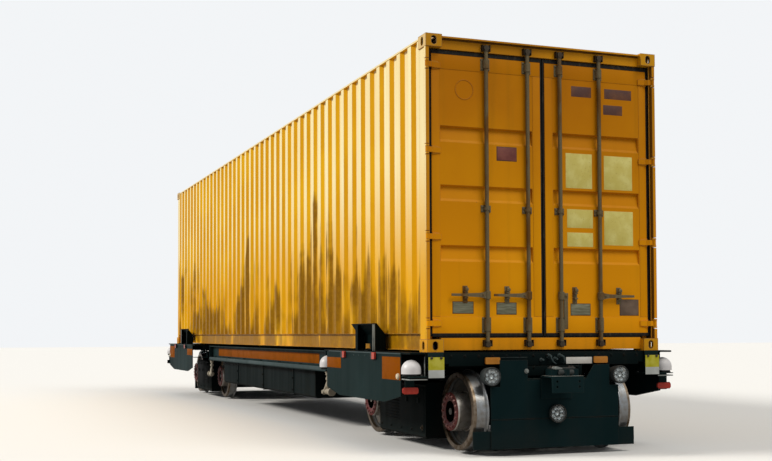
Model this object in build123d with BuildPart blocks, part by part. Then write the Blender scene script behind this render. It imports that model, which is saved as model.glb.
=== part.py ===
"""Battery-electric rail flatcar carrying a 40 ft high-cube container, in millimetres.

X runs along the car towards the container's doors, Y across it and Z up. The origin is under
the middle of the car, at the height of the wheel flanges' lowest points.
"""

from build123d import *
import math
import os

os.makedirs("parts", exist_ok=True)


def save(piece, label):
    """Label one finished piece and write its STEP file."""
    piece.label = label
    export_step(piece, f"parts/{label}.step")


def mirrored(piece, plane):
    """The same piece on the other side of a plane."""
    with BuildPart() as other:
        mirror(piece, about=plane)
    return other.part


# Container, ISO 40 ft high cube
box_length = 12192
box_width = 2438
box_height = 2896
casting_length = 178
casting_width = 162
casting_height = 118
casting_wall = 28
slot_length = 124
slot_width = 63.5
side_slot_length = 79
side_slot_width = 51
slot_cut = casting_wall + 2
half_length = box_length / 2
half_width = box_width / 2
lock_inset_x = 103.5
lock_inset_y = 89.5
lock_spacing_x = box_length - 2 * lock_inset_x
lock_spacing_y = box_width - 2 * lock_inset_y
rail_inset = 6
rail_face = half_width - rail_inset
rail_lift = 17
rail_plate = 5
bottom_rail_top = 172
bottom_rail_flange = 35
top_rail_drop = 13
top_bar_height = 17
top_rail_top = box_height - top_rail_drop
top_bar_bottom = top_rail_top - top_bar_height
top_bar_width = 60
top_tube_height = 55
top_tube_width = 50
floor_thickness = 28
floor_beam_height = 118
floor_beam_width = 45
floor_beam_web = 5
floor_beam_spacing = 610
post_plate = 6
sheet = 3
corrugation_pitch = 277
corrugation_depth = 36
corrugation_rib = 84
corrugation_slope = 40
corrugation_hem = 50
front_pitch = 250
front_depth = 46
front_rib = 60
front_slope = 50
front_hem = 147
roof_pitch = 418
roof_depth = 18
roof_rib = 150
roof_slope = 50
roof_hem = 141
roof_drop = 7
roof_lap_gap = 2

# Container doors
leaf_inset = 60
leaf_side_inset = 77
leaf_top_inset = 154
leaf_outer = half_length - leaf_inset
leaf_thickness = 50
leaf_side = half_width - leaf_side_inset
leaf_centre = 24
leaf_bottom = 168
leaf_top = box_height - leaf_top_inset
leaf_height = leaf_top - leaf_bottom
seal_width = 23
seal_gap = 5
trough_height = 148
trough_depth = 34
trough_shallow = 13
trough_top_slope = 12
trough_bottom_slope = 24
trough_levels = [leaf_bottom + leaf_height * share for share in (0.7106, 0.4996, 0.2852)]
stile_width = 88
hinge_levels = [leaf_bottom + leaf_height * share for share in (0.0365, 0.3427, 0.6496, 0.9526)]
hinge_reach = 42
hinge_offset = 61
hinge_pin_x = leaf_outer + hinge_reach
hinge_pin_y = leaf_side + hinge_offset
hinge_pin_radius = 8
hinge_clearance = 0.5
hinge_eye_radius = 15
blade_height = 50
blade_reach = 90
lug_height = 18
lug_radius = 17
lug_width = 26
lug_gap = 1.5
bar_radius = 19
bar_reach = 30
bar_x = leaf_outer + bar_reach
bar_places = [172, 600]
bar_bottom = 50
bar_top_inset = 56
bar_top = box_height - bar_top_inset
handle_level = 522
handle_length = 360
handle_thickness = 16
handle_height = 34

# Wheels on standard gauge track
tread_radius = 365
flange_height = 28
flange_thickness = 30
back_to_back = 1353
wheel_width = 143
rim_thickness = 56
web_thickness = 26
drum_radius = 180
drum_reach = 70
drum_bore = 98
drum_bore_depth = 40
axle_radius = 85
axle_clearance = 0.5
wheelbase = 2100
bogie_inset = 1286
bogie_centre = half_length - bogie_inset
flange_radius = tread_radius + flange_height
axle_height = flange_radius
wheel_back = back_to_back / 2
wheel_face = wheel_back + wheel_width
hub_reach = 36
wheel_hub_back = wheel_back - hub_reach
drum_face = wheel_face + drum_reach

# Bogie: inboard frame between the wheels
frame_gauge = 1100
frame_width = 100
frame_top = 700
frame_drop = 430
frame_end_depth = 160
frame_knee_depth = 190
frame_knee_outer = 840
frame_knee_inner = 740
frame_half_length = 1290
axle_box_radius = 140
axle_box_width = 130
transom_spacing = 600
transom_width = 160
transom_height = 160
bowl_plate = 30
motor_radius = 150
motor_length = 660
motor_offset = 420
motor_lift = 60
gear_case_radius = 190
gear_case_width = 220
side_box_length = 1220
side_box_face = 950
side_box_bottom = 103
side_box_top = 640
side_box_chamfer = 20
bowl_radius = 190
bowl_top = 780
pivot_pin_radius = 45
pivot_pin_length = 150
pivot_clearance = 0.5
pivot_gap = 6

# Pilot plate in front of the leading wheels
pilot_reach = 1440
pilot_face = bogie_centre + pilot_reach
pilot_thickness = 12
pilot_half_width = 665
pilot_bottom = 67
pilot_top = 870
pilot_top_right = 822
pilot_seam = 333
pilot_seam_width = 8
pilot_seam_depth = 5
wing_half_width = 838
wing_top = 232
notch_bottom = 688
notch_left = 290
notch_right = 315
notch_slant = 90
end_beam_length = 98
end_beam_bottom = 440

# Round headlamps, place across and height of each
lamp_radius = 85
lamp_depth = 108
lamp_reach = 43
lamp_face = pilot_face + lamp_reach
lamp_places = [(-669, 725), (669, 725), (0, 378)]
lamp_arm_width = 160
lamp_arm_height = 100
lamp_clearance = 10
lens_rim = 6
lens_rise = 16
lens_lip = 8

# Coupler carrier in front of the pilot plate
carrier_reach = 225
carrier_face = pilot_face + carrier_reach
carrier_half_width = 159
carrier_top = 725
carrier_bottom = 575
carrier_plate = 14
carrier_bolt_drop = 72
carrier_bolt_radius = 11
carrier_bolt_spacing = 228
carrier_bolt_height = 48
coupler_half_width = 140
coupler_height = 62

# Car frame
deck_top = 943
deck_plate = 16
deck_overhang = 161
deck_inner_reach = 1210
deck_end_inset = 16
deck_half_width = half_width + deck_overhang
deck_start = bogie_centre - deck_inner_reach
deck_end = half_length - deck_end_inset
deck_beam_depth = 90
deck_beam_web = 12
deck_rib_spacing = 510
spine_half_width = 250
spine_depth = 250
spine_end_depth = 130
spine_end_inset = 20
spine_end = deck_end - spine_end_inset
spine_knee_length = 250
spine_knee_inset = 100
sill_overhang = 1
sill_depth = 80
sill_face = half_width + sill_overhang
sill_web_face = sill_face - sill_depth
sill_top = 923
sill_bottom = 683
sill_gap = 450
sill_half_length = deck_start - sill_gap
spine_knee = sill_half_length - spine_knee_inset
sill_plate = 12
bearer_spacing = 1050
bearer_width = 120
bearer_bottom = 745
bearer_plate = 12
battery_inset = 700
battery_gap = 40
battery_side_gap = 20
battery_half_length = sill_half_length - battery_inset
battery_inner = spine_half_width + battery_gap
battery_outer = sill_web_face - battery_side_gap
battery_bottom = 338
battery_chamfer = 25
side_panel_inset = 130
side_panel_end_inset = 200
side_panel_thickness = 10
side_panel_start = deck_start + side_panel_inset
side_panel_end = deck_end - side_panel_end_inset
side_panel_face = deck_half_width + side_panel_thickness
side_panel_top = 935
side_panel_bottom = 471
side_panel_cut_length = 420
side_panel_cut_height = 72
side_panel_corner_length = 70
side_panel_corner_height = 12
deck_rib_inset = 150
deck_rib_reach = deck_half_width - deck_rib_inset
guide_offset = 310
guide_length = 580
guide_start = bogie_centre - guide_offset
guide_end = guide_start + guide_length
guide_gap = 6
guide_top = 1214
guide_knee = 1105
guide_plate = 10
guide_inset = 45
guide_reach = deck_half_width - guide_inset
guide_flare = 92
guide_bar = 24
guide_post_width = 70
guide_notch_length = 165
guide_notch_height = 70


# Wheelset: each wheel is revolved from half its section, rim, web, hub and drum in one
def wheel_pair(axle_x):
    """Two wheels of one axle, at its place."""
    axle_plane = Plane(origin=(axle_x, 0, axle_height), x_dir=(0, 1, 0), z_dir=(1, 0, 0))
    rim_radius = tread_radius - rim_thickness
    web_back = wheel_back + 26
    web_front = web_back + web_thickness
    with BuildPart() as pair:
        with BuildSketch(axle_plane):
            with BuildLine():
                Polyline(
                    (wheel_hub_back, 0),
                    (wheel_hub_back, 120),
                    (web_back, 132),
                    (web_back, rim_radius - 8),
                    (wheel_back, rim_radius),
                    (wheel_back, flange_radius - 12),
                )
                ThreePointArc(
                    (wheel_back, flange_radius - 12),
                    (wheel_back + 12, flange_radius),
                    (wheel_back + 24, flange_radius - 14),
                )
                Polyline(
                    (wheel_back + 24, flange_radius - 14),
                    (wheel_back + flange_thickness, tread_radius + 2),
                    (wheel_face - 6, tread_radius - 4),
                    (wheel_face, tread_radius - 10),
                    (wheel_face, rim_radius + 4),
                    (web_front + 22, rim_radius - 8),
                    (web_front, rim_radius - 34),
                    (web_front, drum_radius + 14),
                    (web_front + 14, drum_radius),
                    (drum_face - 16, drum_radius),
                    (drum_face, drum_radius - 6),
                    (drum_face, drum_bore),
                    (drum_face - drum_bore_depth, drum_bore - 8),
                    (drum_face - drum_bore_depth, 0),
                    (wheel_hub_back, 0),
                )
            make_face()
        revolve(axis=Axis((axle_x, 0, axle_height), (0, 1, 0)))
        mirror(about=Plane.XZ)
    return pair.part


def axle(axle_x):
    """Axle between the two wheel hubs, with thicker seats beside the wheels."""
    centre = Plane(origin=(axle_x, 0, axle_height), x_dir=(1, 0, 0), z_dir=(0, -1, 0))
    seat = frame_gauge / 2 + axle_box_width / 2 + 5
    with BuildPart() as shaft:
        with BuildSketch(centre):
            Circle(axle_radius)
        extrude(amount=wheel_hub_back, both=True)
        with BuildSketch(centre.offset(seat), centre.offset(-wheel_hub_back)):
            Circle(axle_radius + 12)
        extrude(amount=wheel_hub_back - seat)
    return shaft.part


axle_places = [
    bogie_centre + wheelbase / 2,
    bogie_centre - wheelbase / 2,
    -bogie_centre + wheelbase / 2,
    -bogie_centre - wheelbase / 2,
]
for number, axle_x in enumerate(axle_places, start=1):
    save(wheel_pair(axle_x), f"wheels_{number}")
    save(axle(axle_x), f"axle_{number}")

# Bogie side frames: a drop-centre beam with an axle box at each end
frame_inner = frame_gauge / 2 - frame_width / 2
frame_outer = frame_gauge / 2 + frame_width / 2
frame_ends = (bogie_centre - wheelbase / 2, bogie_centre + wheelbase / 2)
end_beam_start = pilot_face - pilot_thickness - end_beam_length
with BuildPart() as side_frames:
    with BuildSketch(Plane.XZ.offset(-frame_outer)):
        with BuildLine():
            Polyline(
                (bogie_centre - frame_half_length, frame_top),
                (end_beam_start, frame_top),
                (end_beam_start, frame_top - frame_end_depth),
                (bogie_centre + frame_knee_outer, frame_top - frame_knee_depth),
                (bogie_centre + frame_knee_inner, frame_drop),
                (bogie_centre - frame_knee_inner, frame_drop),
                (bogie_centre - frame_knee_outer, frame_top - frame_knee_depth),
                (bogie_centre - frame_half_length, frame_top - frame_end_depth),
                close=True,
            )
        make_face()
    extrude(amount=frame_width)
    with BuildSketch(Plane.XZ.offset(-frame_gauge / 2 - axle_box_width / 2)):
        for place in frame_ends:
            with Locations((place, axle_height)):
                Circle(axle_box_radius)
    extrude(amount=axle_box_width)
    with BuildSketch(Plane.XZ.offset(-frame_gauge / 2 - axle_box_width / 2)):
        for place in frame_ends:
            with Locations((place, axle_height)):
                Circle(axle_radius + axle_clearance)
    extrude(amount=axle_box_width, mode=Mode.SUBTRACT)
    mirror(about=Plane.XZ)

# Bogie cross members: two transoms under a plate with the pivot bowl, and behind the pilot plate
# the end beam with arms that hold the upper headlamps
lamp_back = lamp_face - lamp_depth
lamp_arm = lamp_places[1]
beam_half_width = lamp_arm[0] - lamp_radius - lamp_clearance - 4
with BuildPart() as cross_members:
    with BuildSketch(Plane.XY.offset(frame_top)):
        with Locations((bogie_centre, 0)):
            with GridLocations(transom_spacing, 0, 2, 1):
                Rectangle(transom_width, 2 * frame_inner)
    extrude(amount=-transom_height)
    with BuildSketch(Plane.XY.offset(frame_top)):
        with Locations((bogie_centre, 0)):
            Rectangle(transom_spacing + transom_width, 2 * frame_inner * 0.7)
    extrude(amount=bowl_plate)
    with BuildSketch(Plane.XY.offset(frame_top + bowl_plate)):
        with Locations((bogie_centre, 0)):
            Circle(bowl_radius)
    extrude(amount=bowl_top - frame_top - bowl_plate)
    with BuildSketch(Plane.XY.offset(bowl_top)):
        with Locations((bogie_centre, 0)):
            Circle(pivot_pin_radius + pivot_clearance)
    extrude(amount=frame_top - bowl_top - transom_height, mode=Mode.SUBTRACT)
    with BuildSketch(Plane.XY.offset(end_beam_bottom)):
        with Locations((end_beam_start + end_beam_length / 2, 0)):
            Rectangle(end_beam_length, 2 * beam_half_width)
    extrude(amount=frame_top - end_beam_bottom)
    with BuildSketch(Plane.YZ.offset(end_beam_start)):
        for side in (1, -1):
            with Locations((side * (beam_half_width + lamp_arm_width / 4), lamp_arm[1] + 15)):
                Rectangle(lamp_arm_width, lamp_arm_height)
    extrude(amount=lamp_back - end_beam_start)

# Drive units: gear case round the axle with the motor beside it
with BuildPart() as drive_units:
    for side, place in zip((1, -1), frame_ends):
        motor_x = place + side * motor_offset
        motor_plane = Plane(origin=(0, 0, 0), x_dir=(1, 0, 0), z_dir=(0, -1, 0))
        with BuildSketch(motor_plane.offset(-gear_case_width / 2)):
            with Locations((place, axle_height)):
                Circle(gear_case_radius)
            with Locations((motor_x, axle_height + motor_lift)):
                Circle(motor_radius)
            with Locations(((place + motor_x) / 2, axle_height + motor_lift / 2)):
                Rectangle(motor_offset, 2 * motor_radius - 40)
        extrude(amount=gear_case_width)
        with BuildSketch(motor_plane.offset(-motor_length / 2)):
            with Locations((motor_x, axle_height + motor_lift)):
                Circle(motor_radius)
        extrude(amount=motor_length)
        with BuildSketch(motor_plane.offset(-gear_case_width / 2)):
            with Locations((place, axle_height)):
                Circle(axle_radius + 10)
        extrude(amount=gear_case_width, mode=Mode.SUBTRACT)

# Side equipment boxes between the wheels
with BuildPart() as side_boxes:
    with BuildSketch(Plane.XZ.offset(-frame_outer)):
        with Locations((bogie_centre, (side_box_bottom + side_box_top) / 2)):
            Rectangle(side_box_length, side_box_top - side_box_bottom)
    extrude(amount=-(side_box_face - frame_outer))
    outer_edges = side_boxes.edges().group_by(Axis.Y)[-1].filter_by(Axis.X)
    chamfer(outer_edges, side_box_chamfer)
    mirror(about=Plane.XZ)

# Pilot plate: centre plate with its notch, and the lower wings behind it
with BuildPart() as pilot:
    with BuildSketch(Plane.YZ.offset(pilot_face - pilot_thickness)):
        with BuildLine():
            Polyline(
                (-pilot_half_width, pilot_bottom),
                (pilot_half_width, pilot_bottom),
                (pilot_half_width, lamp_arm[1] - lamp_radius - lamp_clearance),
                (beam_half_width, lamp_arm[1] - lamp_radius - lamp_clearance),
                (beam_half_width, pilot_top_right),
                (notch_right + notch_slant, pilot_top_right),
                (notch_right, notch_bottom),
                (-notch_left, notch_bottom),
                (-notch_left, pilot_top),
                (-beam_half_width, pilot_top),
                (-beam_half_width, lamp_arm[1] - lamp_radius - lamp_clearance),
                (-pilot_half_width, lamp_arm[1] - lamp_radius - lamp_clearance),
                close=True,
            )
        make_face()
    extrude(amount=pilot_thickness)
    with BuildSketch(Plane.YZ.offset(pilot_face)):
        with Locations((0, pilot_seam)):
            Rectangle(2 * pilot_half_width, pilot_seam_width)
    extrude(amount=-pilot_seam_depth, mode=Mode.SUBTRACT)
    with BuildSketch(Plane.YZ.offset(pilot_face - pilot_thickness)):
        with Locations((0, (pilot_bottom + wing_top) / 2)):
            Rectangle(2 * wing_half_width, wing_top - pilot_bottom)
    extrude(amount=-pilot_thickness)

# Headlamps: a can with a domed lens at its front
with BuildPart() as headlamps:
    for place, height in lamp_places:
        can_back = lamp_back if place else pilot_face
        with BuildSketch(Plane.YZ.offset(can_back)):
            with Locations((place, height)):
                Circle(lamp_radius)
        extrude(amount=lamp_face - can_back - lens_lip)
        with BuildSketch(Plane.YZ.offset(lamp_face - lens_lip)):
            with Locations((place, height)):
                Circle(lamp_radius - lens_rim)
        extrude(amount=lens_rise, taper=35)

# Coupler: carrier box with a bolted front plate, and the head that lies on it
with BuildPart() as coupler:
    with BuildSketch(Plane.XZ.offset(-carrier_half_width)):
        with BuildLine():
            Polyline(
                (pilot_face, carrier_bottom - 60),
                (pilot_face, carrier_top),
                (carrier_face, carrier_top),
                (carrier_face, carrier_bottom),
                (carrier_face - carrier_plate, carrier_bottom),
                (carrier_face - 2 * carrier_plate, carrier_top - carrier_plate),
                (pilot_face + carrier_plate, carrier_top - carrier_plate),
                (pilot_face + carrier_plate, carrier_bottom - 60),
                close=True,
            )
        make_face()
    extrude(amount=2 * carrier_half_width)
    with BuildSketch(Plane.YZ.offset(carrier_face)):
        with Locations((0, carrier_top - carrier_bolt_drop)):
            with GridLocations(carrier_bolt_spacing, carrier_bolt_height, 2, 2):
                Circle(carrier_bolt_radius)
    extrude(amount=-2 * carrier_plate, mode=Mode.SUBTRACT)
    with BuildSketch(Plane.XY.offset(carrier_top)):
        with BuildLine():
            half = Polyline(
                (pilot_face - 90, 0),
                (pilot_face - 90, 60),
                (pilot_face + 10, 60),
                (pilot_face + 60, coupler_half_width),
                (carrier_face - 60, coupler_half_width),
                (carrier_face - 60, 50),
                (carrier_face - 10, 20),
                (carrier_face - 10, 0),
            )
            mirror(half, about=Plane.XZ)
        make_face()
    extrude(amount=coupler_height)

bogie_pieces = {
    "side_frames": side_frames.part,
    "cross_members": cross_members.part,
    "drive_units": drive_units.part,
    "side_boxes": side_boxes.part,
    "pilot": pilot.part,
    "headlamps": headlamps.part,
    "coupler": coupler.part,
}
for name, piece in bogie_pieces.items():
    save(piece, f"{name}_front")
    save(mirrored(piece, Plane.YZ), f"{name}_rear")

# Spine: deep box between the bogies, shallow over them
spine_top = deck_top - deck_plate
with BuildPart() as spine:
    with BuildSketch(Plane.XZ.offset(-spine_half_width)):
        with BuildLine():
            half = Polyline(
                (0, spine_top),
                (spine_end, spine_top),
                (spine_end, spine_top - spine_end_depth),
                (spine_knee + spine_knee_length, spine_top - spine_end_depth),
                (spine_knee, spine_top - spine_depth),
                (0, spine_top - spine_depth),
            )
            mirror(half, about=Plane.YZ)
        make_face()
    extrude(amount=2 * spine_half_width)
save(spine.part, "spine")

# Side sills: channels open to the outside, with their web inboard
with BuildPart() as side_sills:
    with BuildSketch(Plane.YZ.offset(-sill_half_length)):
        with BuildLine():
            Polyline(
                (sill_web_face, sill_bottom),
                (sill_face, sill_bottom),
                (sill_face, sill_bottom + sill_plate),
                (sill_web_face + sill_plate, sill_bottom + sill_plate),
                (sill_web_face + sill_plate, sill_top - sill_plate),
                (sill_face, sill_top - sill_plate),
                (sill_face, sill_top),
                (sill_web_face, sill_top),
                close=True,
            )
        make_face()
    extrude(amount=2 * sill_half_length)
    mirror(about=Plane.XZ)
save(side_sills.part, "side_sills")

# Cross bearers: I-beams from the spine to the side sills
bearer_count = 2 * int((sill_half_length - bearer_width / 2) / bearer_spacing) + 1
bearer_top = sill_top - 20
with BuildPart() as cross_bearers:
    with BuildSketch(Plane.XZ.offset(-sill_web_face)):
        with GridLocations(bearer_spacing, 0, bearer_count, 1):
            with Locations((0, bearer_top - bearer_plate / 2), (0, bearer_bottom + bearer_plate / 2)):
                Rectangle(bearer_width, bearer_plate)
            with Locations((0, (bearer_top + bearer_bottom) / 2)):
                Rectangle(bearer_plate, bearer_top - bearer_bottom)
    extrude(amount=sill_web_face - spine_half_width)
    mirror(about=Plane.XZ)
save(cross_bearers.part, "cross_bearers")

# End decks: plate over each bogie, stiffened below by ribs clear of the spine
with BuildPart() as end_decks:
    with BuildSketch(Plane.XY.offset(deck_top)):
        with Locations(((deck_start + deck_end) / 2, 0)):
            Rectangle(deck_end - deck_start, 2 * deck_half_width)
    extrude(amount=-deck_plate)
    rib_places = [
        deck_start + deck_beam_web / 2,
        bogie_centre - 2 * deck_rib_spacing,
        bogie_centre - deck_rib_spacing,
        bogie_centre,
        bogie_centre + deck_rib_spacing,
        deck_end - deck_beam_web / 2,
    ]
    for rib in rib_places:
        with BuildSketch(Plane.XY.offset(deck_top - deck_plate)):
            with Locations((rib, 0)):
                with GridLocations(0, deck_rib_reach + spine_half_width, 1, 2):
                    Rectangle(deck_beam_web, deck_rib_reach - spine_half_width)
        extrude(amount=-deck_beam_depth)
    mirror(about=Plane.YZ)
save(end_decks.part, "end_decks")

# Pivots under the spine: a ring plate over each bogie's bowl and a pin into it
with BuildPart() as pivots:
    for end in (1, -1):
        with BuildSketch(Plane.XY.offset(spine_top - spine_end_depth)):
            with Locations((end * bogie_centre, 0)):
                Circle(bowl_radius)
        extrude(amount=bowl_top + pivot_gap - spine_top + spine_end_depth)
        with BuildSketch(Plane.XY.offset(bowl_top + pivot_gap)):
            with Locations((end * bogie_centre, 0)):
                Circle(pivot_pin_radius)
        extrude(amount=-pivot_pin_length)
save(pivots.part, "pivots")

# Side panels hung on the outer edge of each end deck
with BuildPart() as side_panels:
    with BuildSketch(Plane.XZ.offset(-side_panel_face)):
        with BuildLine():
            Polyline(
                (side_panel_start, side_panel_top - side_panel_corner_height),
                (side_panel_start + side_panel_corner_length, side_panel_top),
                (side_panel_end, side_panel_top),
                (side_panel_end, side_panel_bottom + side_panel_cut_height),
                (side_panel_end - side_panel_cut_length, side_panel_bottom),
                (side_panel_start + side_panel_cut_length, side_panel_bottom),
                (side_panel_start, side_panel_bottom + side_panel_cut_height),
                close=True,
            )
        make_face()
    extrude(amount=side_panel_thickness)
    mirror(about=Plane.XZ)
    mirror(about=Plane.YZ)
save(side_panels.part, "side_panels")

# Container side guides: plate beside the container, flared out at its top, on two posts
guide_inner = half_width + guide_gap
with BuildPart() as guides:
    with BuildSketch(Plane.YZ.offset(guide_start)):
        with BuildLine():
            Polyline(
                (guide_inner, deck_top),
                (guide_inner, guide_knee),
                (guide_inner + guide_flare, guide_top),
                (guide_inner + guide_flare + guide_plate, guide_top),
                (guide_inner + guide_plate, guide_knee - 3),
                (guide_inner + guide_plate, deck_top),
                close=True,
            )
        make_face()
    extrude(amount=guide_end - guide_start)
    with BuildSketch(Plane.XZ.offset(-guide_inner - guide_plate)):
        notch_middle = guide_start + guide_plate + guide_notch_length / 2
        with Locations((notch_middle, deck_top + guide_notch_height / 2)):
            Rectangle(guide_notch_length, guide_notch_height)
    extrude(amount=guide_plate, mode=Mode.SUBTRACT)
    gusset_planes = (
        Plane.YZ.offset(guide_start),
        Plane.YZ.offset(guide_end - guide_plate),
    )
    with BuildSketch(*gusset_planes):
        with BuildLine():
            Polyline(
                (guide_inner + guide_plate, deck_top),
                (guide_inner + guide_plate, guide_knee - 3),
                (guide_inner + guide_flare + guide_plate, guide_top),
                (guide_reach, guide_top),
                (guide_reach, deck_top),
                close=True,
            )
        make_face()
    extrude(amount=guide_plate)
    with BuildSketch(Plane.XZ.offset(-guide_reach)):
        for edge in (guide_start + guide_post_width / 2, guide_end - guide_post_width / 2):
            with Locations((edge, (deck_top + guide_top) / 2)):
                Rectangle(guide_post_width, guide_top - deck_top)
    extrude(amount=guide_plate)
    with BuildSketch(Plane.XY.offset(guide_top)):
        with Locations(((guide_start + guide_end) / 2, guide_reach - guide_bar / 2)):
            Rectangle(guide_end - guide_start, guide_bar)
    extrude(amount=-guide_plate)
    mirror(about=Plane.XZ)
    mirror(about=Plane.YZ)
save(guides.part, "guides")

# Corner brackets: shelf for the dome sensor, hanger plate inboard and lamp bracket below
shelf_level = 728
shelf_plate = 8
shelf_inset = 157
shelf_overhang = 12
shelf_length = 192
shelf_inner = half_width - shelf_inset
shelf_end = deck_end + shelf_overhang
shelf_start = shelf_end - shelf_length
inner_shelf_end = side_panel_start
inner_shelf_length = 235
inner_shelf_side = 40
hanger_width = 150
inner_hanger_length = 90
inner_hanger_inset = 84
inner_hanger_y = shelf_inner + inner_hanger_inset
corner_lamp_inset = 105
lamp_bracket_width = 90
corner_lamp_x = shelf_end - corner_lamp_inset
corner_lamp_y = side_panel_face - lamp_bracket_width / 2
lamp_bracket_height = 160
with BuildPart() as corner_brackets:
    with BuildSketch(Plane.XY.offset(shelf_level)):
        with Locations(((shelf_start + shelf_end) / 2, (shelf_inner + side_panel_face) / 2)):
            Rectangle(shelf_end - shelf_start, side_panel_face - shelf_inner)
    extrude(amount=-shelf_plate)
    with BuildSketch(Plane.YZ.offset(shelf_end)):
        with Locations((shelf_inner + hanger_width / 2, (shelf_level - shelf_plate + deck_top) / 2)):
            Rectangle(hanger_width, deck_top - shelf_level + shelf_plate)
    extrude(amount=shelf_plate)
    with BuildSketch(Plane.YZ.offset(corner_lamp_x)):
        with Locations((corner_lamp_y, shelf_level - shelf_plate - lamp_bracket_height / 2)):
            Rectangle(lamp_bracket_width, lamp_bracket_height)
    extrude(amount=-shelf_plate)
    with BuildSketch(Plane.XY.offset(shelf_level)):
        with Locations(
            (inner_shelf_end - inner_shelf_length / 2, (shelf_inner + side_panel_face) / 2 + inner_shelf_side)
        ):
            Rectangle(inner_shelf_length, side_panel_face - shelf_inner - 2 * inner_shelf_side)
    extrude(amount=-shelf_plate)
    with BuildSketch(Plane.XY.offset(shelf_level - shelf_plate)):
        with Locations((inner_shelf_end - inner_hanger_length / 2, inner_hanger_y)):
            Rectangle(inner_hanger_length, shelf_plate)
    extrude(amount=deck_top - deck_plate - shelf_level + shelf_plate)
    mirror(about=Plane.XZ)
    mirror(about=Plane.YZ)
save(corner_brackets.part, "corner_brackets")

# Dome sensors on the shelves
dome_radius = 90
dome_skirt = 37
dome_base_radius = 75
dome_base = 21
dome_side_inset = 46
dome_end_inset = 86
inner_dome_inset = 145
dome_y = deck_half_width - dome_side_inset
dome_x = deck_end - dome_end_inset
dome_places = [(dome_x, dome_y), (-dome_x, dome_y), (inner_shelf_end - inner_dome_inset, dome_y)]
with BuildPart() as dome_sensors:
    for x, y in dome_places:
        with BuildSketch(Plane(origin=(x, y, shelf_level), x_dir=(1, 0, 0), z_dir=(0, -1, 0))):
            with BuildLine():
                top = dome_base + dome_skirt
                Polyline(
                    (0, top + dome_radius),
                    (0, 0),
                    (dome_base_radius, 0),
                    (dome_base_radius, dome_base),
                    (dome_radius, dome_base),
                    (dome_radius, top),
                )
                RadiusArc((dome_radius, top), (0, top + dome_radius), -dome_radius)
            make_face()
        revolve(axis=Axis((x, y, shelf_level), (0, 0, 1)))
    mirror(about=Plane.XZ)
save(dome_sensors.part, "dome_sensors")

# Amber lamps on the end face of each deck, beside the pilot's uprights
amber_place = 570
amber_level = 862
amber_length = 150
amber_height = 62
amber_corner = 12
amber_depth = 26
with BuildPart() as amber_lamps:
    with BuildSketch(Plane.YZ.offset(deck_end)):
        with Locations((amber_place, amber_level)):
            RectangleRounded(amber_length, amber_height, amber_corner)
    extrude(amount=amber_depth)
    mirror(about=Plane.XZ)
    mirror(about=Plane.YZ)
save(amber_lamps.part, "amber_lamps")

# Red lamps: two at the top of each side panel and one under each corner bracket
panel_lamp_inset = 585
panel_lamp_end_inset = 675
panel_lamp_places = [side_panel_start + panel_lamp_inset, side_panel_end - panel_lamp_end_inset]
panel_lamp_length = 105
panel_lamp_height = 66
panel_lamp_depth = 26
panel_lamp_corner = 14
corner_lamp_level = 598
corner_lamp_length = 150
corner_lamp_height = 58
corner_lamp_corner = 20
corner_lamp_depth = 24
with BuildPart() as red_lamps:
    for x in panel_lamp_places:
        with BuildSketch(Plane.XZ.offset(-side_panel_face)):
            with Locations((x, side_panel_top - panel_lamp_height / 2)):
                RectangleRounded(panel_lamp_length, panel_lamp_height, panel_lamp_corner)
        extrude(amount=-panel_lamp_depth)
    with BuildSketch(Plane.YZ.offset(corner_lamp_x)):
        with Locations((corner_lamp_y, corner_lamp_level)):
            RectangleRounded(corner_lamp_length, corner_lamp_height, corner_lamp_corner)
    extrude(amount=corner_lamp_depth)
    mirror(about=Plane.XZ)
    mirror(about=Plane.YZ)
save(red_lamps.part, "red_lamps")

# Battery boxes hung under the bearers, beside the spine
with BuildPart() as battery_boxes:
    with BuildSketch(Plane.YZ.offset(-battery_half_length)):
        with Locations(((battery_inner + battery_outer) / 2, (battery_bottom + bearer_bottom) / 2)):
            Rectangle(battery_outer - battery_inner, bearer_bottom - battery_bottom)
    extrude(amount=2 * battery_half_length)
    chamfer(battery_boxes.edges().group_by(Axis.Z)[0].filter_by(Axis.X), battery_chamfer)
    mirror(about=Plane.XZ)
save(battery_boxes.part, "battery_boxes")

# Pipe drops at the ends of the side sills
drop_inset = 30
drop_x = sill_half_length - drop_inset
drop_y = sill_face - sill_depth / 2
drop_radius = 17
drop_length = 190
drop_flange_radius = 34
drop_flange = 14
fitting_drop = 230
fitting_back = 40
fitting_level = sill_bottom - fitting_drop
fitting_start = drop_x - fitting_back
fitting_length = 150
fitting_nut_radius = 46
fitting_nut_length = 40
with BuildPart() as pipe_drops:
    with BuildSketch(Plane.XY.offset(sill_bottom)):
        with Locations((drop_x, drop_y)):
            Circle(drop_flange_radius)
    extrude(amount=-drop_flange)
    with BuildSketch(Plane.XY.offset(sill_bottom - drop_flange)):
        with Locations((drop_x, drop_y)):
            Circle(drop_radius)
    extrude(amount=-drop_length)
    with BuildSketch(Plane.YZ.offset(fitting_start)):
        with Locations((drop_y, fitting_level)):
            Circle(drop_flange_radius)
    extrude(amount=fitting_length)
    with BuildSketch(Plane.YZ.offset(fitting_start + fitting_length)):
        with Locations((drop_y, fitting_level)):
            Circle(fitting_nut_radius)
    extrude(amount=fitting_nut_length)
    mirror(about=Plane.XZ)
    mirror(about=Plane.YZ)
save(pipe_drops.part, "pipe_drops")

# Corner castings: block with a chamber that opens up or down, to the end and to the side
casting_x = half_length - casting_length / 2
casting_y = half_width - casting_width / 2


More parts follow.
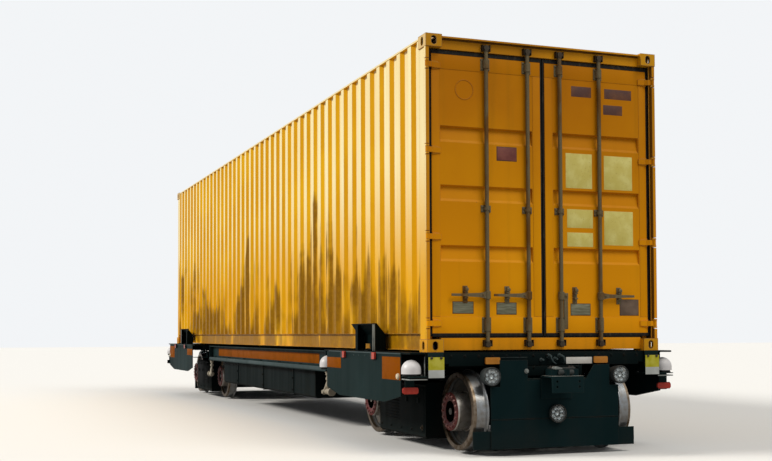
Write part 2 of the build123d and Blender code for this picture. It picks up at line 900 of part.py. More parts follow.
def castings(level, opening):
    """Four castings at one level; opening is 1 for slots in the top, -1 for slots in the base."""
    middle = level + casting_height / 2
    slot_level = level + casting_height if opening > 0 else level
    with BuildPart() as blocks:
        with BuildSketch(Plane.XY.offset(level)):
            with Locations((casting_x, casting_y)):
                Rectangle(casting_length, casting_width)
        extrude(amount=casting_height)
        with Locations((casting_x, casting_y, middle)):
            Box(
                casting_length - 2 * casting_wall,
                casting_width - 2 * casting_wall,
                casting_height - 2 * casting_wall,
                mode=Mode.SUBTRACT,
            )
        with BuildSketch(Plane.XY.offset(slot_level)):
            with Locations((lock_spacing_x / 2, lock_spacing_y / 2)):
                SlotOverall(slot_length, slot_width)
        extrude(amount=-opening * slot_cut, mode=Mode.SUBTRACT)
        with BuildSketch(Plane.YZ.offset(half_length)):
            with Locations((casting_y, middle)):
                SlotOverall(side_slot_length, side_slot_width, rotation=90)
        extrude(amount=-slot_cut, mode=Mode.SUBTRACT)
        with BuildSketch(Plane.XZ.offset(-half_width)):
            with Locations((casting_x, middle)):
                SlotOverall(side_slot_length, side_slot_width, rotation=90)
        extrude(amount=slot_cut, mode=Mode.SUBTRACT)
        mirror(about=Plane.XZ)
        mirror(about=Plane.YZ)
    return blocks.part


with BuildPart() as corner_castings:
    add(castings(deck_top, -1))
    add(castings(deck_top + box_height - casting_height, 1))
save(corner_castings.part, "corner_castings")

# Lock cones on the deck inside the bottom castings
with BuildPart() as lock_cones:
    with BuildSketch(Plane.XY.offset(deck_top)):
        with Locations((lock_spacing_x / 2, lock_spacing_y / 2)):
            SlotOverall(slot_length - 20, slot_width - 10)
    extrude(amount=casting_height - casting_wall - 20, taper=12)
    mirror(about=Plane.XZ)
    mirror(about=Plane.YZ)
save(lock_cones.part, "lock_cones")

# Corner posts: folded tubes between the castings, the rear ones stepped back for the door
# leaves and carrying the hinge lugs and pins
post_bottom = deck_top + casting_height
post_height = box_height - 2 * casting_height
post_overhang = 18
post_inset = 4
post_overlap = 25
front_post_inset = 40
leaf_back_gap = 10
rear_post_end = leaf_outer + post_overhang
rear_post_start = half_length - casting_length
post_face = rail_face - post_inset
front_post_start = half_length - front_post_inset
rear_post_inner = leaf_side - post_overlap
rear_step_x = leaf_outer - leaf_thickness - leaf_back_gap
rear_step_y = leaf_side + seal_width + seal_gap
with BuildPart() as corner_posts:
    with BuildSketch(Plane.XY.offset(post_bottom)):
        with BuildLine():
            Polyline(
                (rear_post_start, rear_post_inner),
                (rear_step_x, rear_post_inner),
                (rear_step_x, rear_step_y),
                (rear_post_end, rear_step_y),
                (rear_post_end, post_face),
                (rear_post_start, post_face),
                close=True,
            )
        make_face()
        offset(amount=-post_plate, mode=Mode.SUBTRACT)
    extrude(amount=post_height)
    for level in hinge_levels:
        for low in (-blade_height / 2 - lug_gap - lug_height, blade_height / 2 + lug_gap):
            with BuildSketch(Plane.XY.offset(deck_top + level + low)):
                with Locations((hinge_pin_x, hinge_pin_y)):
                    Circle(lug_radius)
                with Locations(((rear_post_end + hinge_pin_x) / 2, hinge_pin_y - 4)):
                    Rectangle(hinge_pin_x - rear_post_end, lug_width)
            extrude(amount=lug_height)
        with BuildSketch(Plane.XY.offset(deck_top + level - blade_height / 2 - lug_gap)):
            with Locations((hinge_pin_x, hinge_pin_y)):
                Circle(hinge_pin_radius)
        extrude(amount=blade_height + 2 * lug_gap)
    with BuildSketch(Plane.XY.offset(post_bottom)):
        with Locations((-(front_post_start + rear_post_start) / 2, (rear_post_inner + post_face) / 2)):
            Rectangle(front_post_start - rear_post_start, post_face - rear_post_inner)
            offset(amount=-post_plate, mode=Mode.SUBTRACT)
    extrude(amount=post_height)
    mirror(about=Plane.XZ)
save(corner_posts.part, "corner_posts")

# Container side rails: channels open outwards at the bottom, and at the top a flat bar that covers
# the side sheet, on a tube that carries the roof
rail_half_length = half_length - casting_length
roof_seat = box_height - roof_drop - roof_depth - sheet
lining_face = post_face - corrugation_depth - sheet - 1
channel_hollow = bottom_rail_flange - rail_plate
with BuildPart() as side_rails:
    with BuildSketch(Plane.YZ.offset(-rail_half_length)):
        with Locations((rail_face - bottom_rail_flange / 2, deck_top + (rail_lift + bottom_rail_top) / 2)):
            Rectangle(bottom_rail_flange, bottom_rail_top - rail_lift)
        with Locations((rail_face - channel_hollow / 2, deck_top + (rail_lift + bottom_rail_top) / 2)):
            Rectangle(channel_hollow, bottom_rail_top - rail_lift - 2 * rail_plate, mode=Mode.SUBTRACT)
        with Locations((rail_face - top_bar_width / 2, deck_top + (top_bar_bottom + top_rail_top) / 2)):
            Rectangle(top_bar_width, top_bar_height)
        with Locations((lining_face - top_tube_width / 2, deck_top + roof_seat - top_tube_height / 2)):
            Rectangle(top_tube_width, top_tube_height)
            Rectangle(top_tube_width - 2 * rail_plate, top_tube_height - 2 * rail_plate, mode=Mode.SUBTRACT)
    extrude(amount=2 * rail_half_length)
    mirror(about=Plane.XZ)
save(side_rails.part, "side_rails")

# End frames: a sill and a header between the castings, a drip lip along the door header, and at the
# doors a keeper pair for each bar end
frame_half_width = half_width - casting_width
leaf_gap = seal_width + seal_gap + 4
sill_level = leaf_bottom - leaf_gap
header_level = leaf_top + leaf_gap
keeper_height = 60
header_drop = 12
frame_proud = 4
header_top = box_height - header_drop
door_frame_face = leaf_outer + frame_proud
keeper_reach = 40
keeper_plate = 10
keeper_spacing = 2 * bar_radius + 34
drip_reach = 38
drip_height = 16
# face of the member across the car, lowest and highest level
frame_members = [
    (door_frame_face, rail_lift, sill_level),
    (door_frame_face, header_level, header_top),
    (-front_post_start, rail_lift, bottom_rail_top),
    (-front_post_start, header_level, header_top),
]
with BuildPart() as end_frames:
    for face, low, high in frame_members:
        inner_face = math.copysign(rail_half_length, face)
        with BuildSketch(Plane.XY.offset(deck_top + low)):
            with Locations(((face + inner_face) / 2, 0)):
                Rectangle(abs(face - inner_face), 2 * frame_half_width)
        extrude(amount=high - low)
    with BuildSketch(Plane.XY.offset(deck_top + header_top)):
        with Locations((door_frame_face + drip_reach / 2, 0)):
            Rectangle(drip_reach, 2 * frame_half_width)
    extrude(amount=-drip_height)
    for level in (bar_bottom, bar_top - keeper_height):
        with BuildSketch(Plane.XY.offset(deck_top + level)):
            for place in bar_places:
                with Locations((door_frame_face + keeper_reach / 2, place)):
                    with GridLocations(0, keeper_spacing, 1, 2):
                        Rectangle(keeper_reach, keeper_plate)
                with Locations((door_frame_face + keeper_reach / 2, -place)):
                    with GridLocations(0, keeper_spacing, 1, 2):
                        Rectangle(keeper_reach, keeper_plate)
        extrude(amount=keeper_height)
save(end_frames.part, "end_frames")


def corrugated(length, pitch, depth, rib, slope, hem):
    """Points of a sheet's section: ribs from its middle outwards, and a flat hem at each end.

    Hems and ribs lie in the outer plane, and the grooves between them a depth below it.
    """
    end = length / 2
    count = int((length - 2 * (hem + slope)) / pitch)
    outer = [(-end, 0), (hem - end, 0), (hem + slope - end, -depth)]
    for step in range(count):
        middle = (step - (count - 1) / 2) * pitch
        outer += [
            (middle - rib / 2 - slope, -depth),
            (middle - rib / 2, 0),
            (middle + rib / 2, 0),
            (middle + rib / 2 + slope, -depth),
        ]
    outer += [(end - hem - slope, -depth), (end - hem, 0), (end, 0)]
    inner = [(x, y - sheet) for x, y in reversed(outer)]
    return outer + inner


# Side walls: corrugated sheets between the rails and posts
wall_plane = Plane(origin=(0, post_face, deck_top + bottom_rail_top))
with BuildPart() as side_walls:
    with BuildSketch(wall_plane):
        with BuildLine():
            Polyline(
                *corrugated(
                    2 * rail_half_length,
                    corrugation_pitch,
                    corrugation_depth,
                    corrugation_rib,
                    corrugation_slope,
                    corrugation_hem,
                ),
                close=True,
            )
        make_face()
    extrude(amount=top_bar_bottom - bottom_rail_top)
    mirror(about=Plane.XZ)
save(side_walls.part, "side_walls")

# Front wall: deeper corrugations between the front posts
front_plane = Plane(
    origin=(-front_post_start + post_inset, 0, deck_top + bottom_rail_top),
    x_dir=(0, 1, 0),
    z_dir=(0, 0, 1),
)
with BuildPart() as front_wall:
    with BuildSketch(front_plane):
        with BuildLine():
            Polyline(
                *corrugated(
                    2 * rear_post_inner, front_pitch, front_depth, front_rib, front_slope, front_hem
                ),
                close=True,
            )
        make_face()
    extrude(amount=header_level - bottom_rail_top)
save(front_wall.part, "front_wall")

# Roof: cross-corrugated sheet on the tubes of the top rails, between their bars
roof_half_width = rail_face - top_bar_width - roof_lap_gap
roof_plane = Plane(
    origin=(0, roof_half_width, deck_top + box_height - roof_drop),
    x_dir=(1, 0, 0),
    z_dir=(0, -1, 0),
)
with BuildPart() as roof:
    with BuildSketch(roof_plane):
        with BuildLine():
            Polyline(
                *corrugated(2 * rail_half_length, roof_pitch, roof_depth, roof_rib, roof_slope, roof_hem),
                close=True,
            )
        make_face()
    extrude(amount=2 * roof_half_width)
save(roof.part, "roof")

# Floor boards, as wide as the walls' grooves leave free, on cross beams between the bottom rails
floor_half_width = rail_face - bottom_rail_flange
floor_top = bottom_rail_top
with BuildPart() as floor_boards:
    with BuildSketch(Plane.XY.offset(deck_top + floor_top)):
        Rectangle(2 * rail_half_length, 2 * lining_face)
    extrude(amount=-floor_thickness)
save(floor_boards.part, "floor_boards")
beam_count = 2 * int(rail_half_length / floor_beam_spacing) - 1
with BuildPart() as floor_beams:
    with BuildSketch(Plane.XZ.offset(-floor_half_width)):
        with GridLocations(floor_beam_spacing, 0, beam_count, 1):
            with Locations((0, deck_top + floor_top - floor_thickness - floor_beam_height / 2)):
                Rectangle(floor_beam_width, floor_beam_height)
            with Locations((floor_beam_web, deck_top + floor_top - floor_thickness - floor_beam_height / 2)):
                Rectangle(floor_beam_width, floor_beam_height - 2 * floor_beam_web, mode=Mode.SUBTRACT)
    extrude(amount=2 * floor_half_width)
save(floor_beams.part, "floor_beams")

# Door leaf: pressed panel in a frame, with three troughs across it and four hinge blades
leaf_inner = leaf_outer - leaf_thickness
with BuildPart() as door_leaf:
    with BuildSketch(Plane.YZ.offset(leaf_inner)):
        with Locations(((leaf_centre + leaf_side) / 2, deck_top + (leaf_bottom + leaf_top) / 2)):
            Rectangle(leaf_side - leaf_centre, leaf_top - leaf_bottom)
    extrude(amount=leaf_thickness)
    for level in trough_levels:
        with BuildSketch(Plane.XZ.offset(-leaf_side + stile_width)):
            with BuildLine():
                Polyline(
                    (leaf_outer, deck_top + level + trough_height / 2),
                    (leaf_outer - trough_depth, deck_top + level + trough_height / 2 - trough_top_slope),
                    (leaf_outer - trough_shallow, deck_top + level - trough_height / 2 + trough_bottom_slope),
                    (leaf_outer, deck_top + level - trough_height / 2),
                    close=True,
                )
            make_face()
        extrude(amount=leaf_side - leaf_centre - 2 * stile_width, mode=Mode.SUBTRACT)
    for level in hinge_levels:
        with BuildSketch(Plane.XY.offset(deck_top + level - blade_height / 2)):
            with BuildLine():
                Polyline(
                    (leaf_outer, leaf_side - blade_reach),
                    (leaf_outer, leaf_side - 4),
                    (hinge_pin_x - 18, hinge_pin_y - 46),
                    (hinge_pin_x - 18, hinge_pin_y),
                    (hinge_pin_x - 5, hinge_pin_y),
                    (hinge_pin_x - 5, hinge_pin_y - 28),
                    (hinge_pin_x - 3, hinge_pin_y - 50),
                    (hinge_pin_x - 24, hinge_pin_y - 80),
                    (leaf_outer + 12, leaf_side - blade_reach),
                    close=True,
                )
            make_face()
            with Locations((hinge_pin_x, hinge_pin_y)):
                Circle(hinge_eye_radius)
                Circle(hinge_pin_radius + hinge_clearance, mode=Mode.SUBTRACT)
        extrude(amount=blade_height)
save(door_leaf.part, "door_leaf_right")
save(mirrored(door_leaf.part, Plane.XZ), "door_leaf_left")

# Door seal: rubber strip all round the leaf's edge
seal_depth = leaf_thickness - 6
with BuildPart() as door_seal:
    with BuildSketch(Plane.YZ.offset(leaf_inner)):
        with Locations(((leaf_centre + leaf_side) / 2, deck_top + (leaf_bottom + leaf_top) / 2)):
            Rectangle(leaf_side - leaf_centre + 2 * seal_width, leaf_top - leaf_bottom + 2 * seal_width)
            Rectangle(leaf_side - leaf_centre, leaf_top - leaf_bottom, mode=Mode.SUBTRACT)
        with Locations((leaf_centre - seal_width, deck_top + (leaf_bottom + leaf_top) / 2)):
            Rectangle(2 * seal_gap - 2, leaf_top, mode=Mode.SUBTRACT)
    extrude(amount=seal_depth)
save(door_seal.part, "door_seal_right")
save(mirrored(door_seal.part, Plane.XZ), "door_seal_left")

# Lock gear: two bars with cams at their ends, guides on the leaf and a handle each
guide_levels = [leaf_bottom + 110, handle_level + 800, leaf_top - 110]
with BuildPart() as lock_gear:
    for place in bar_places:
        with BuildSketch(Plane.XY.offset(deck_top + bar_bottom)):
            with Locations((bar_x, place)):
                Circle(bar_radius)
        extrude(amount=bar_top - bar_bottom)
        for level in guide_levels:
            with BuildSketch(Plane.XY.offset(deck_top + level - 28)):
                with Locations(((leaf_outer + bar_x) / 2, place)):
                    Rectangle(bar_x - leaf_outer, 2 * bar_radius + 20)
                with Locations((bar_x, place)):
                    Circle(bar_radius + 8)
            extrude(amount=56)
        with BuildSketch(Plane.XY.offset(deck_top + handle_level)):
            with Locations((bar_x, place + handle_length / 2)):
                Rectangle(handle_thickness, handle_length)
        extrude(amount=handle_height)
save(lock_gear.part, "lock_gear_right")
save(mirrored(lock_gear.part, Plane.XZ), "lock_gear_left")
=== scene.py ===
import math
import random
from functools import partialmethod

import bmesh
import bpy
from mathutils import Matrix, Vector


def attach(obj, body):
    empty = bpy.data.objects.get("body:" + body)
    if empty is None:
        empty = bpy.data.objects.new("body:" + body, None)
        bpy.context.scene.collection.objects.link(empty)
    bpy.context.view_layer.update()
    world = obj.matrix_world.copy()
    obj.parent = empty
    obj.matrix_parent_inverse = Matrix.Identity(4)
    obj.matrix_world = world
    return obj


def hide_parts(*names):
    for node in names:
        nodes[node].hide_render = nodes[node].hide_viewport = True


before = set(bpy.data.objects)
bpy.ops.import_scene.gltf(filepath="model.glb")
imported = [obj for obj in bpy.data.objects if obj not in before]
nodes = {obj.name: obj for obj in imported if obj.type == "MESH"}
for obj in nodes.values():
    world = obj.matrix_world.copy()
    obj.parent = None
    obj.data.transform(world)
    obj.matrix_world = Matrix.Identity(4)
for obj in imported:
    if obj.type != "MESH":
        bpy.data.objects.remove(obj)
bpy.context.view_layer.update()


# Container walls, front wall and roof. Corrugated steel sheet 3 mm thick, welded all round into
# the rails and posts, in golden paint that rain, dust and years on the road have marked; the dark
# patches low on the walls are dirt and painted shade, and the cream on the sides' upper flats is
# chalky paint and a painted reflection of the sky.

class Value:
    """A socket of a shader tree: an expression on it adds the Math nodes that work it out."""

    def __init__(self, finish, socket):
        self.finish = finish
        self.socket = socket

    def math(self, operation, other=0):
        return self.finish.node("ShaderNodeMath", {"operation": operation}, {0: self, 1: other})

    __add__ = __radd__ = partialmethod(math, "ADD")
    __sub__ = partialmethod(math, "SUBTRACT")
    __mul__ = __rmul__ = partialmethod(math, "MULTIPLY")
    __truediv__ = partialmethod(math, "DIVIDE")
    __pow__ = partialmethod(math, "POWER")
    __mod__ = partialmethod(math, "FLOORED_MODULO")
    __gt__ = partialmethod(math, "GREATER_THAN")
    __lt__ = partialmethod(math, "LESS_THAN")
    __abs__ = partialmethod(math, "ABSOLUTE")
    most = partialmethod(math, "MAXIMUM")

    def __rsub__(self, other):
        return self.finish.node("ShaderNodeMath", {"operation": "SUBTRACT"}, {0: other, 1: self})

    def near(self, middle, reach):
        """1 within reach of the middle, 0 beyond it."""
        return abs(self - middle) < reach

    def rise(self, low, high):
        """0 below low, 1 above high and a soft step between; falls where high is the lower one."""
        settings = {"interpolation_type": "SMOOTHSTEP"}
        ends = {"Value": self, "From Min": low, "From Max": high}
        return self.finish.node("ShaderNodeMapRange", settings, ends)


class Finish:
    """A material while it is put together: its tree, its shader and the row's own coordinates."""

    def __init__(self, name, roughness=0.5, **constants):
        self.material = bpy.data.materials.new(name)
        self.material.use_nodes = True
        self.tree = self.material.node_tree
        self.shader = self.tree.nodes["Principled BSDF"]
        for socket, value in {"Roughness": roughness, **constants}.items():
            self.shader.inputs[socket.replace("_", " ")].default_value = value
        self.place = self.node("ShaderNodeTexCoord", out="Object")

    def node(self, kind, settings=None, inputs=None, out=0):
        made = self.tree.nodes.new(kind)
        for key, value in (settings or {}).items():
            setattr(made, key, value)
        for key, value in (inputs or {}).items():
            if isinstance(value, Value):
                self.tree.links.new(value.socket, made.inputs[key])
            else:
                made.inputs[key].default_value = value
        return Value(self, made.outputs[out])

    def axis(self, name):
        return self.node("ShaderNodeSeparateXYZ", None, {0: self.place}, out=name)

    def stretched(self, stretch, seed):
        """The coordinates, stretched, and moved off to a place of the seed's own."""
        terms = {0: self.place, 1: stretch}
        scaled = self.node("ShaderNodeVectorMath", {"operation": "MULTIPLY"}, terms)
        offset = (seed * 3.7, seed * 1.9, seed * 5.3)
        return self.node("ShaderNodeVectorMath", {"operation": "ADD"}, {0: scaled, 1: offset})

    def noise(self, scale, stretch=(1, 1, 1), detail=4, seed=0):
        inputs = {"Vector": self.stretched(stretch, seed), "Scale": scale, "Detail": detail}
        return self.node("ShaderNodeTexNoise", None, inputs)

    def cells(self, scale, seed):
        inputs = {"Vector": self.stretched((1, 1, 1), seed), "Scale": scale}
        return self.node("ShaderNodeTexVoronoi", None, inputs, out="Distance")

    def mixed(self, factor, first, second):
        first, second = (c if isinstance(c, Value) else (*c, 1) for c in (first, second))
        inputs = {0: factor, 6: first, 7: second}
        return self.node("ShaderNodeMix", {"data_type": "RGBA"}, inputs, out=2)

    def rounded(self, radius):
        return self.node("ShaderNodeBevel", {"samples": 4}, {"Radius": radius})

    def facing(self, axis):
        """How squarely the surface faces along an axis, evened out over its edges."""
        return self.node("ShaderNodeSeparateXYZ", None, {0: self.rounded(0.008)}, out=axis)

    def edge(self, radius):
        """Near 1 along outer and inner edges of the mesh, 0 on its flats."""
        flat = self.node("ShaderNodeNewGeometry", out="Normal")
        terms = {0: self.rounded(radius), 1: flat}
        match = self.node("ShaderNodeVectorMath", {"operation": "DOT_PRODUCT"}, terms, out="Value")
        return (1 - match).rise(0.004, 0.09)

    def bump(self, height, depth, radius=0):
        inputs = {"Height": height, "Distance": depth}
        if radius:
            inputs["Normal"] = self.rounded(radius)
        return self.node("ShaderNodeBump", None, inputs)

    def feed(self, **sockets):
        for socket, value in sockets.items():
            self.tree.links.new(value.socket, self.shader.inputs[socket.replace("_", " ")])
        return self.material


GOLD = (0.68, 0.325, 0.002)
GOLD_FADED = (0.76, 0.395, 0.006)
GOLD_DIRT = (0.27, 0.125, 0.002)
CHALK_AND_GLARE = (0.92, 0.81, 0.46)
PRIMER = (0.17, 0.15, 0.13)
RUST = (0.19, 0.065, 0.022)
DUST = (0.36, 0.29, 0.21)
END_WALLS = 6


def weather(paint, colour, faded, dirt, roughness, streaks=0.4, low=0.0, ragged=0.4, cover=0.25,
            chalk=0.0, chips=0.5, edge=0.004, dents=0.0, seed=0):
    """Paint out in the weather: faded clouds, rain streaks, dark splashes of dirt up to a ragged line low
    down, which on the walls also stand for painted shade, chips with rust in them, and on the container's
    outer faces, most on its sides, a pale cream that is chalky paint and a painted reflection of the sky."""
    cloud = paint.noise(0.9, seed=seed)
    grain = paint.noise(90, detail=2, seed=seed)
    run = paint.noise(7, (1, 1, 0.06), seed=seed + 1)
    speck = paint.noise(26, detail=6, seed=seed + 2)
    tone = paint.mixed(cloud.rise(0.42, 0.66), colour, faded)
    tone = paint.mixed(run.rise(0.52, 0.78) * streaks, tone, dirt)
    height = paint.axis("Z")
    worn = paint.edge(edge)
    # Dark splashes low down: dirt, and painted shade where the walls' settings make them broad and high.
    splash_and_shade = (height - ragged * (run + cloud - 1)).rise(low + 0.35, low - 0.1)
    if chalk:
        x, aside = paint.axis("X"), paint.facing("Y")
        at_end = paint.facing("X") * x * (abs(x) > END_WALLS)
        outside = aside * paint.axis("Y") + at_end > 0.05
        # Painted reflection: the pale cream on the sides' upper flats stands for the sky's glare on the
        # paint as well as chalking; worn edges turn paler with it, as wear and painted highlight.
        sky_glare_and_chalk = abs(aside).rise(0.86, 0.97) * height.rise(1.46, 2.96) * (0.55 + 0.9 * run)
        tone = paint.mixed((sky_glare_and_chalk + 0.2 * worn) * outside * chalk, tone, CHALK_AND_GLARE)
        splash_and_shade = splash_and_shade * outside
    patches = paint.noise(1.5, (1, 1, 0.45), seed=seed + 3).rise(0.34, 0.50)
    tone = paint.mixed(splash_and_shade * (cover + 0.5 * speck) * patches, tone, dirt)
    chip = (worn * 0.9 + speck).rise(1.02, 1.12) * chips
    spot = speck.rise(0.745, 0.765) * chips
    bare = chip.most(spot)
    tone = paint.mixed(chip, tone, PRIMER)
    tone = paint.mixed((chip * run.rise(0.4, 0.6)).most(spot), tone, RUST)
    dull = (roughness + 0.16 * run.rise(0.4, 0.8) + 0.1 * grain - 0.05) + 0.25 * bare
    relief = grain * 0.06 + cloud * dents - bare * 0.25
    return {"Base_Color": tone, "Roughness": dull, "Normal": paint.bump(relief, 0.0016, edge)}


def worn_paint(name, colour, faded, dirt, roughness, shine=0.3, **weathering):
    """A material that is only weathered paint."""
    paint = Finish(name, roughness, Specular_IOR_Level=shine)
    return paint.feed(**weather(paint, colour, faded, dirt, roughness, **weathering))


def dress(material, *names):
    """Give CAD nodes their material."""
    for name in names:
        for slot in nodes[name].material_slots:
            slot.link = "OBJECT"
            slot.material = material


# The walls: broad dark patches low down, dirt and painted shade, and cream on the upper flats, chalky
# paint and painted sky reflection.
wall_gold = worn_paint("wall_gold", (0.76, 0.375, 0.002), (0.86, 0.47, 0.005), GOLD_DIRT, 0.36,
                       shine=0.08, streaks=0.15, low=1.66, ragged=2.8, cover=0.72, chalk=0.9,
                       chips=0.35, dents=4.0, seed=1)
dress(wall_gold, "side_walls", "front_wall", "side_rails")
roof_gold = worn_paint("roof_gold", GOLD, GOLD_FADED, DUST, 0.5, streaks=0.7, dents=6.0, seed=2)
dress(roof_gold, "roof")

# Container frame. Folded and rolled steel posts, rails, sill and header, welded to eight cast
# corner fittings; the castings' apertures are rubbed bare by locks and spreaders.
DECK = 0.943
CONTAINER = (6.096, 1.219, 1.448)
CASTING = (0.178, 0.162, 0.118)
CASTING_WALL = 0.012
MIDDLE = (0, 0, DECK + CONTAINER[2])


def shaded_towards_top(paint, upper, lower):
    """A paint's colour, darker up under the roof and paler lower down: painted shade."""
    return paint.mixed(paint.axis("Z").rise(3.7, 0.9), upper, lower)


girder = Finish("frame_gold", 0.38, Specular_IOR_Level=0.12)
x, y, z = girder.axis("X"), abs(girder.axis("Y")), girder.axis("Z")
aside = abs(girder.facing("Y")).rise(0.6, 0.8)
# Painted shade and light: the gold is darker towards the top, and the faces turned to the sides are
# lighter and yellower than those turned to the ends, as lit and shaded copies of one paint; the chalk on
# the sides is painted light too.
tone = shaded_towards_top(girder, (0.50, 0.20, 0.001), (0.82, 0.31, 0.002))
tone = girder.mixed(aside, tone, (0.72, 0.35, 0.002))
faded = girder.mixed(aside, (0.70, 0.30, 0.003), (0.82, 0.43, 0.004))
look = weather(girder, tone, faded, GOLD_DIRT, 0.38, streaks=0.2, low=0.85, chalk=0.8, chips=0.4,
               edge=0.006, dents=2.0, seed=3)
# Black lines: the bars' keepers, and painted shade in the seals' joint on the posts and along the sill
# under the leaves.
seal_joint_shade = y.near(1.170, 0.0012) * x.near(6.0, 0.05)
keepers = (x > 6.0415) * (z < 3.805) * (y < 1.0)
sill_rebate_shade = z.near(1.0785, 0.0065) * (x > 6.03) * (y < 1.15)
black = seal_joint_shade.most(keepers).most(sill_rebate_shade)
look["Base_Color"] = girder.mixed(black, look["Base_Color"], (0.022, 0.014, 0.008))
# Painted shade: a dark wavy band under the header's drip lip, where its shadow falls, and on the inner
# faces of the posts' lips.
drip_lip_shadow = (z + 0.03 * girder.noise(2.5, seed=21) > 3.814) * (z < 3.8112) * (x > 6.0)
lip_shade = drip_lip_shadow.most(y.near(1.1815, 0.0045) * (x > 6.049))
look["Base_Color"] = girder.mixed(0.9 * lip_shade, look["Base_Color"], (0.105, 0.042, 0.004))
frame_gold = girder.feed(**look)
dress(frame_gold, "corner_posts", "end_frames", "floor_beams")
cast = Finish("casting_gold", 0.46, Specular_IOR_Level=0.15)
# Painted shade: the castings' gold is darker towards the top.
tone = shaded_towards_top(cast, (0.52, 0.23, 0.003), (0.80, 0.34, 0.005))
look = weather(cast, tone, (0.66, 0.31, 0.004), GOLD_DIRT, 0.46, streaks=0.3, low=0.85, chalk=0.4,
               chips=0.8, edge=0.011, dents=3.0, seed=4)
# Painted shade: the castings' insides, seen through the apertures, are painted near black.
aperture_shade = 1
for axis, middle, half, size in zip("XYZ", MIDDLE, CONTAINER, CASTING):
    out = abs(cast.axis(axis) - middle)
    aperture_shade = aperture_shade * out.near(half - size / 2, size / 2 - CASTING_WALL)
look["Base_Color"] = cast.mixed(aperture_shade, look["Base_Color"], (0.020, 0.009, 0.003))
dress(cast.feed(**look), "corner_castings")

# Container floor. Boards of varnished wood, screwed down across the steel beams and scuffed in
# patches by pallets and trucks.
WOOD = (0.23, 0.12, 0.055)
WOOD_PALE = (0.33, 0.19, 0.09)
WOOD_WORN = (0.36, 0.25, 0.15)
JOINT_DARK = (0.03, 0.02, 0.015)
PLANK = 0.29
boards = Finish("floor_boards", 0.55)
joint = abs(boards.axis("Y") % PLANK - PLANK / 2).rise(PLANK / 2 - 0.004, PLANK / 2 - 0.001)
figure = boards.noise(11, (0.12, 1.6, 1), detail=6, seed=5)
scuff = boards.noise(2.2, (0.4, 1, 1), detail=6, seed=6).rise(0.45, 0.7)
tone = boards.mixed(figure.rise(0.3, 0.75), WOOD, WOOD_PALE)
tone = boards.mixed(scuff * 0.7, tone, WOOD_WORN)
tone = boards.mixed(joint, tone, JOINT_DARK)
relief = boards.bump(figure * 0.3 - joint, 0.002)
dress(boards.feed(Base_Color=tone, Roughness=0.45 + 0.3 * scuff, Normal=relief), "floor_boards")

# Door leaves. A pressed steel panel with three troughs across it, set in a frame of steel tube that
# stands proud of it; each hangs on four forged blades.
leaf = Finish("door_gold", 0.42, Specular_IOR_Level=0.08)
# Painted shade: the doors' gold is more orange than the walls' and darker towards the top.
tone = shaded_towards_top(leaf, (0.49, 0.168, 0.0004), (0.80, 0.312, 0.0008))
faded = shaded_towards_top(leaf, (0.56, 0.205, 0.0006), (0.86, 0.360, 0.0012))
door_gold = leaf.feed(**weather(leaf, tone, faded, GOLD_DIRT, 0.42, streaks=0.25, low=0.85,
                                chips=0.35, edge=0.005, dents=3.0, seed=7))
dress(door_gold, "door_leaf_left", "door_leaf_right")


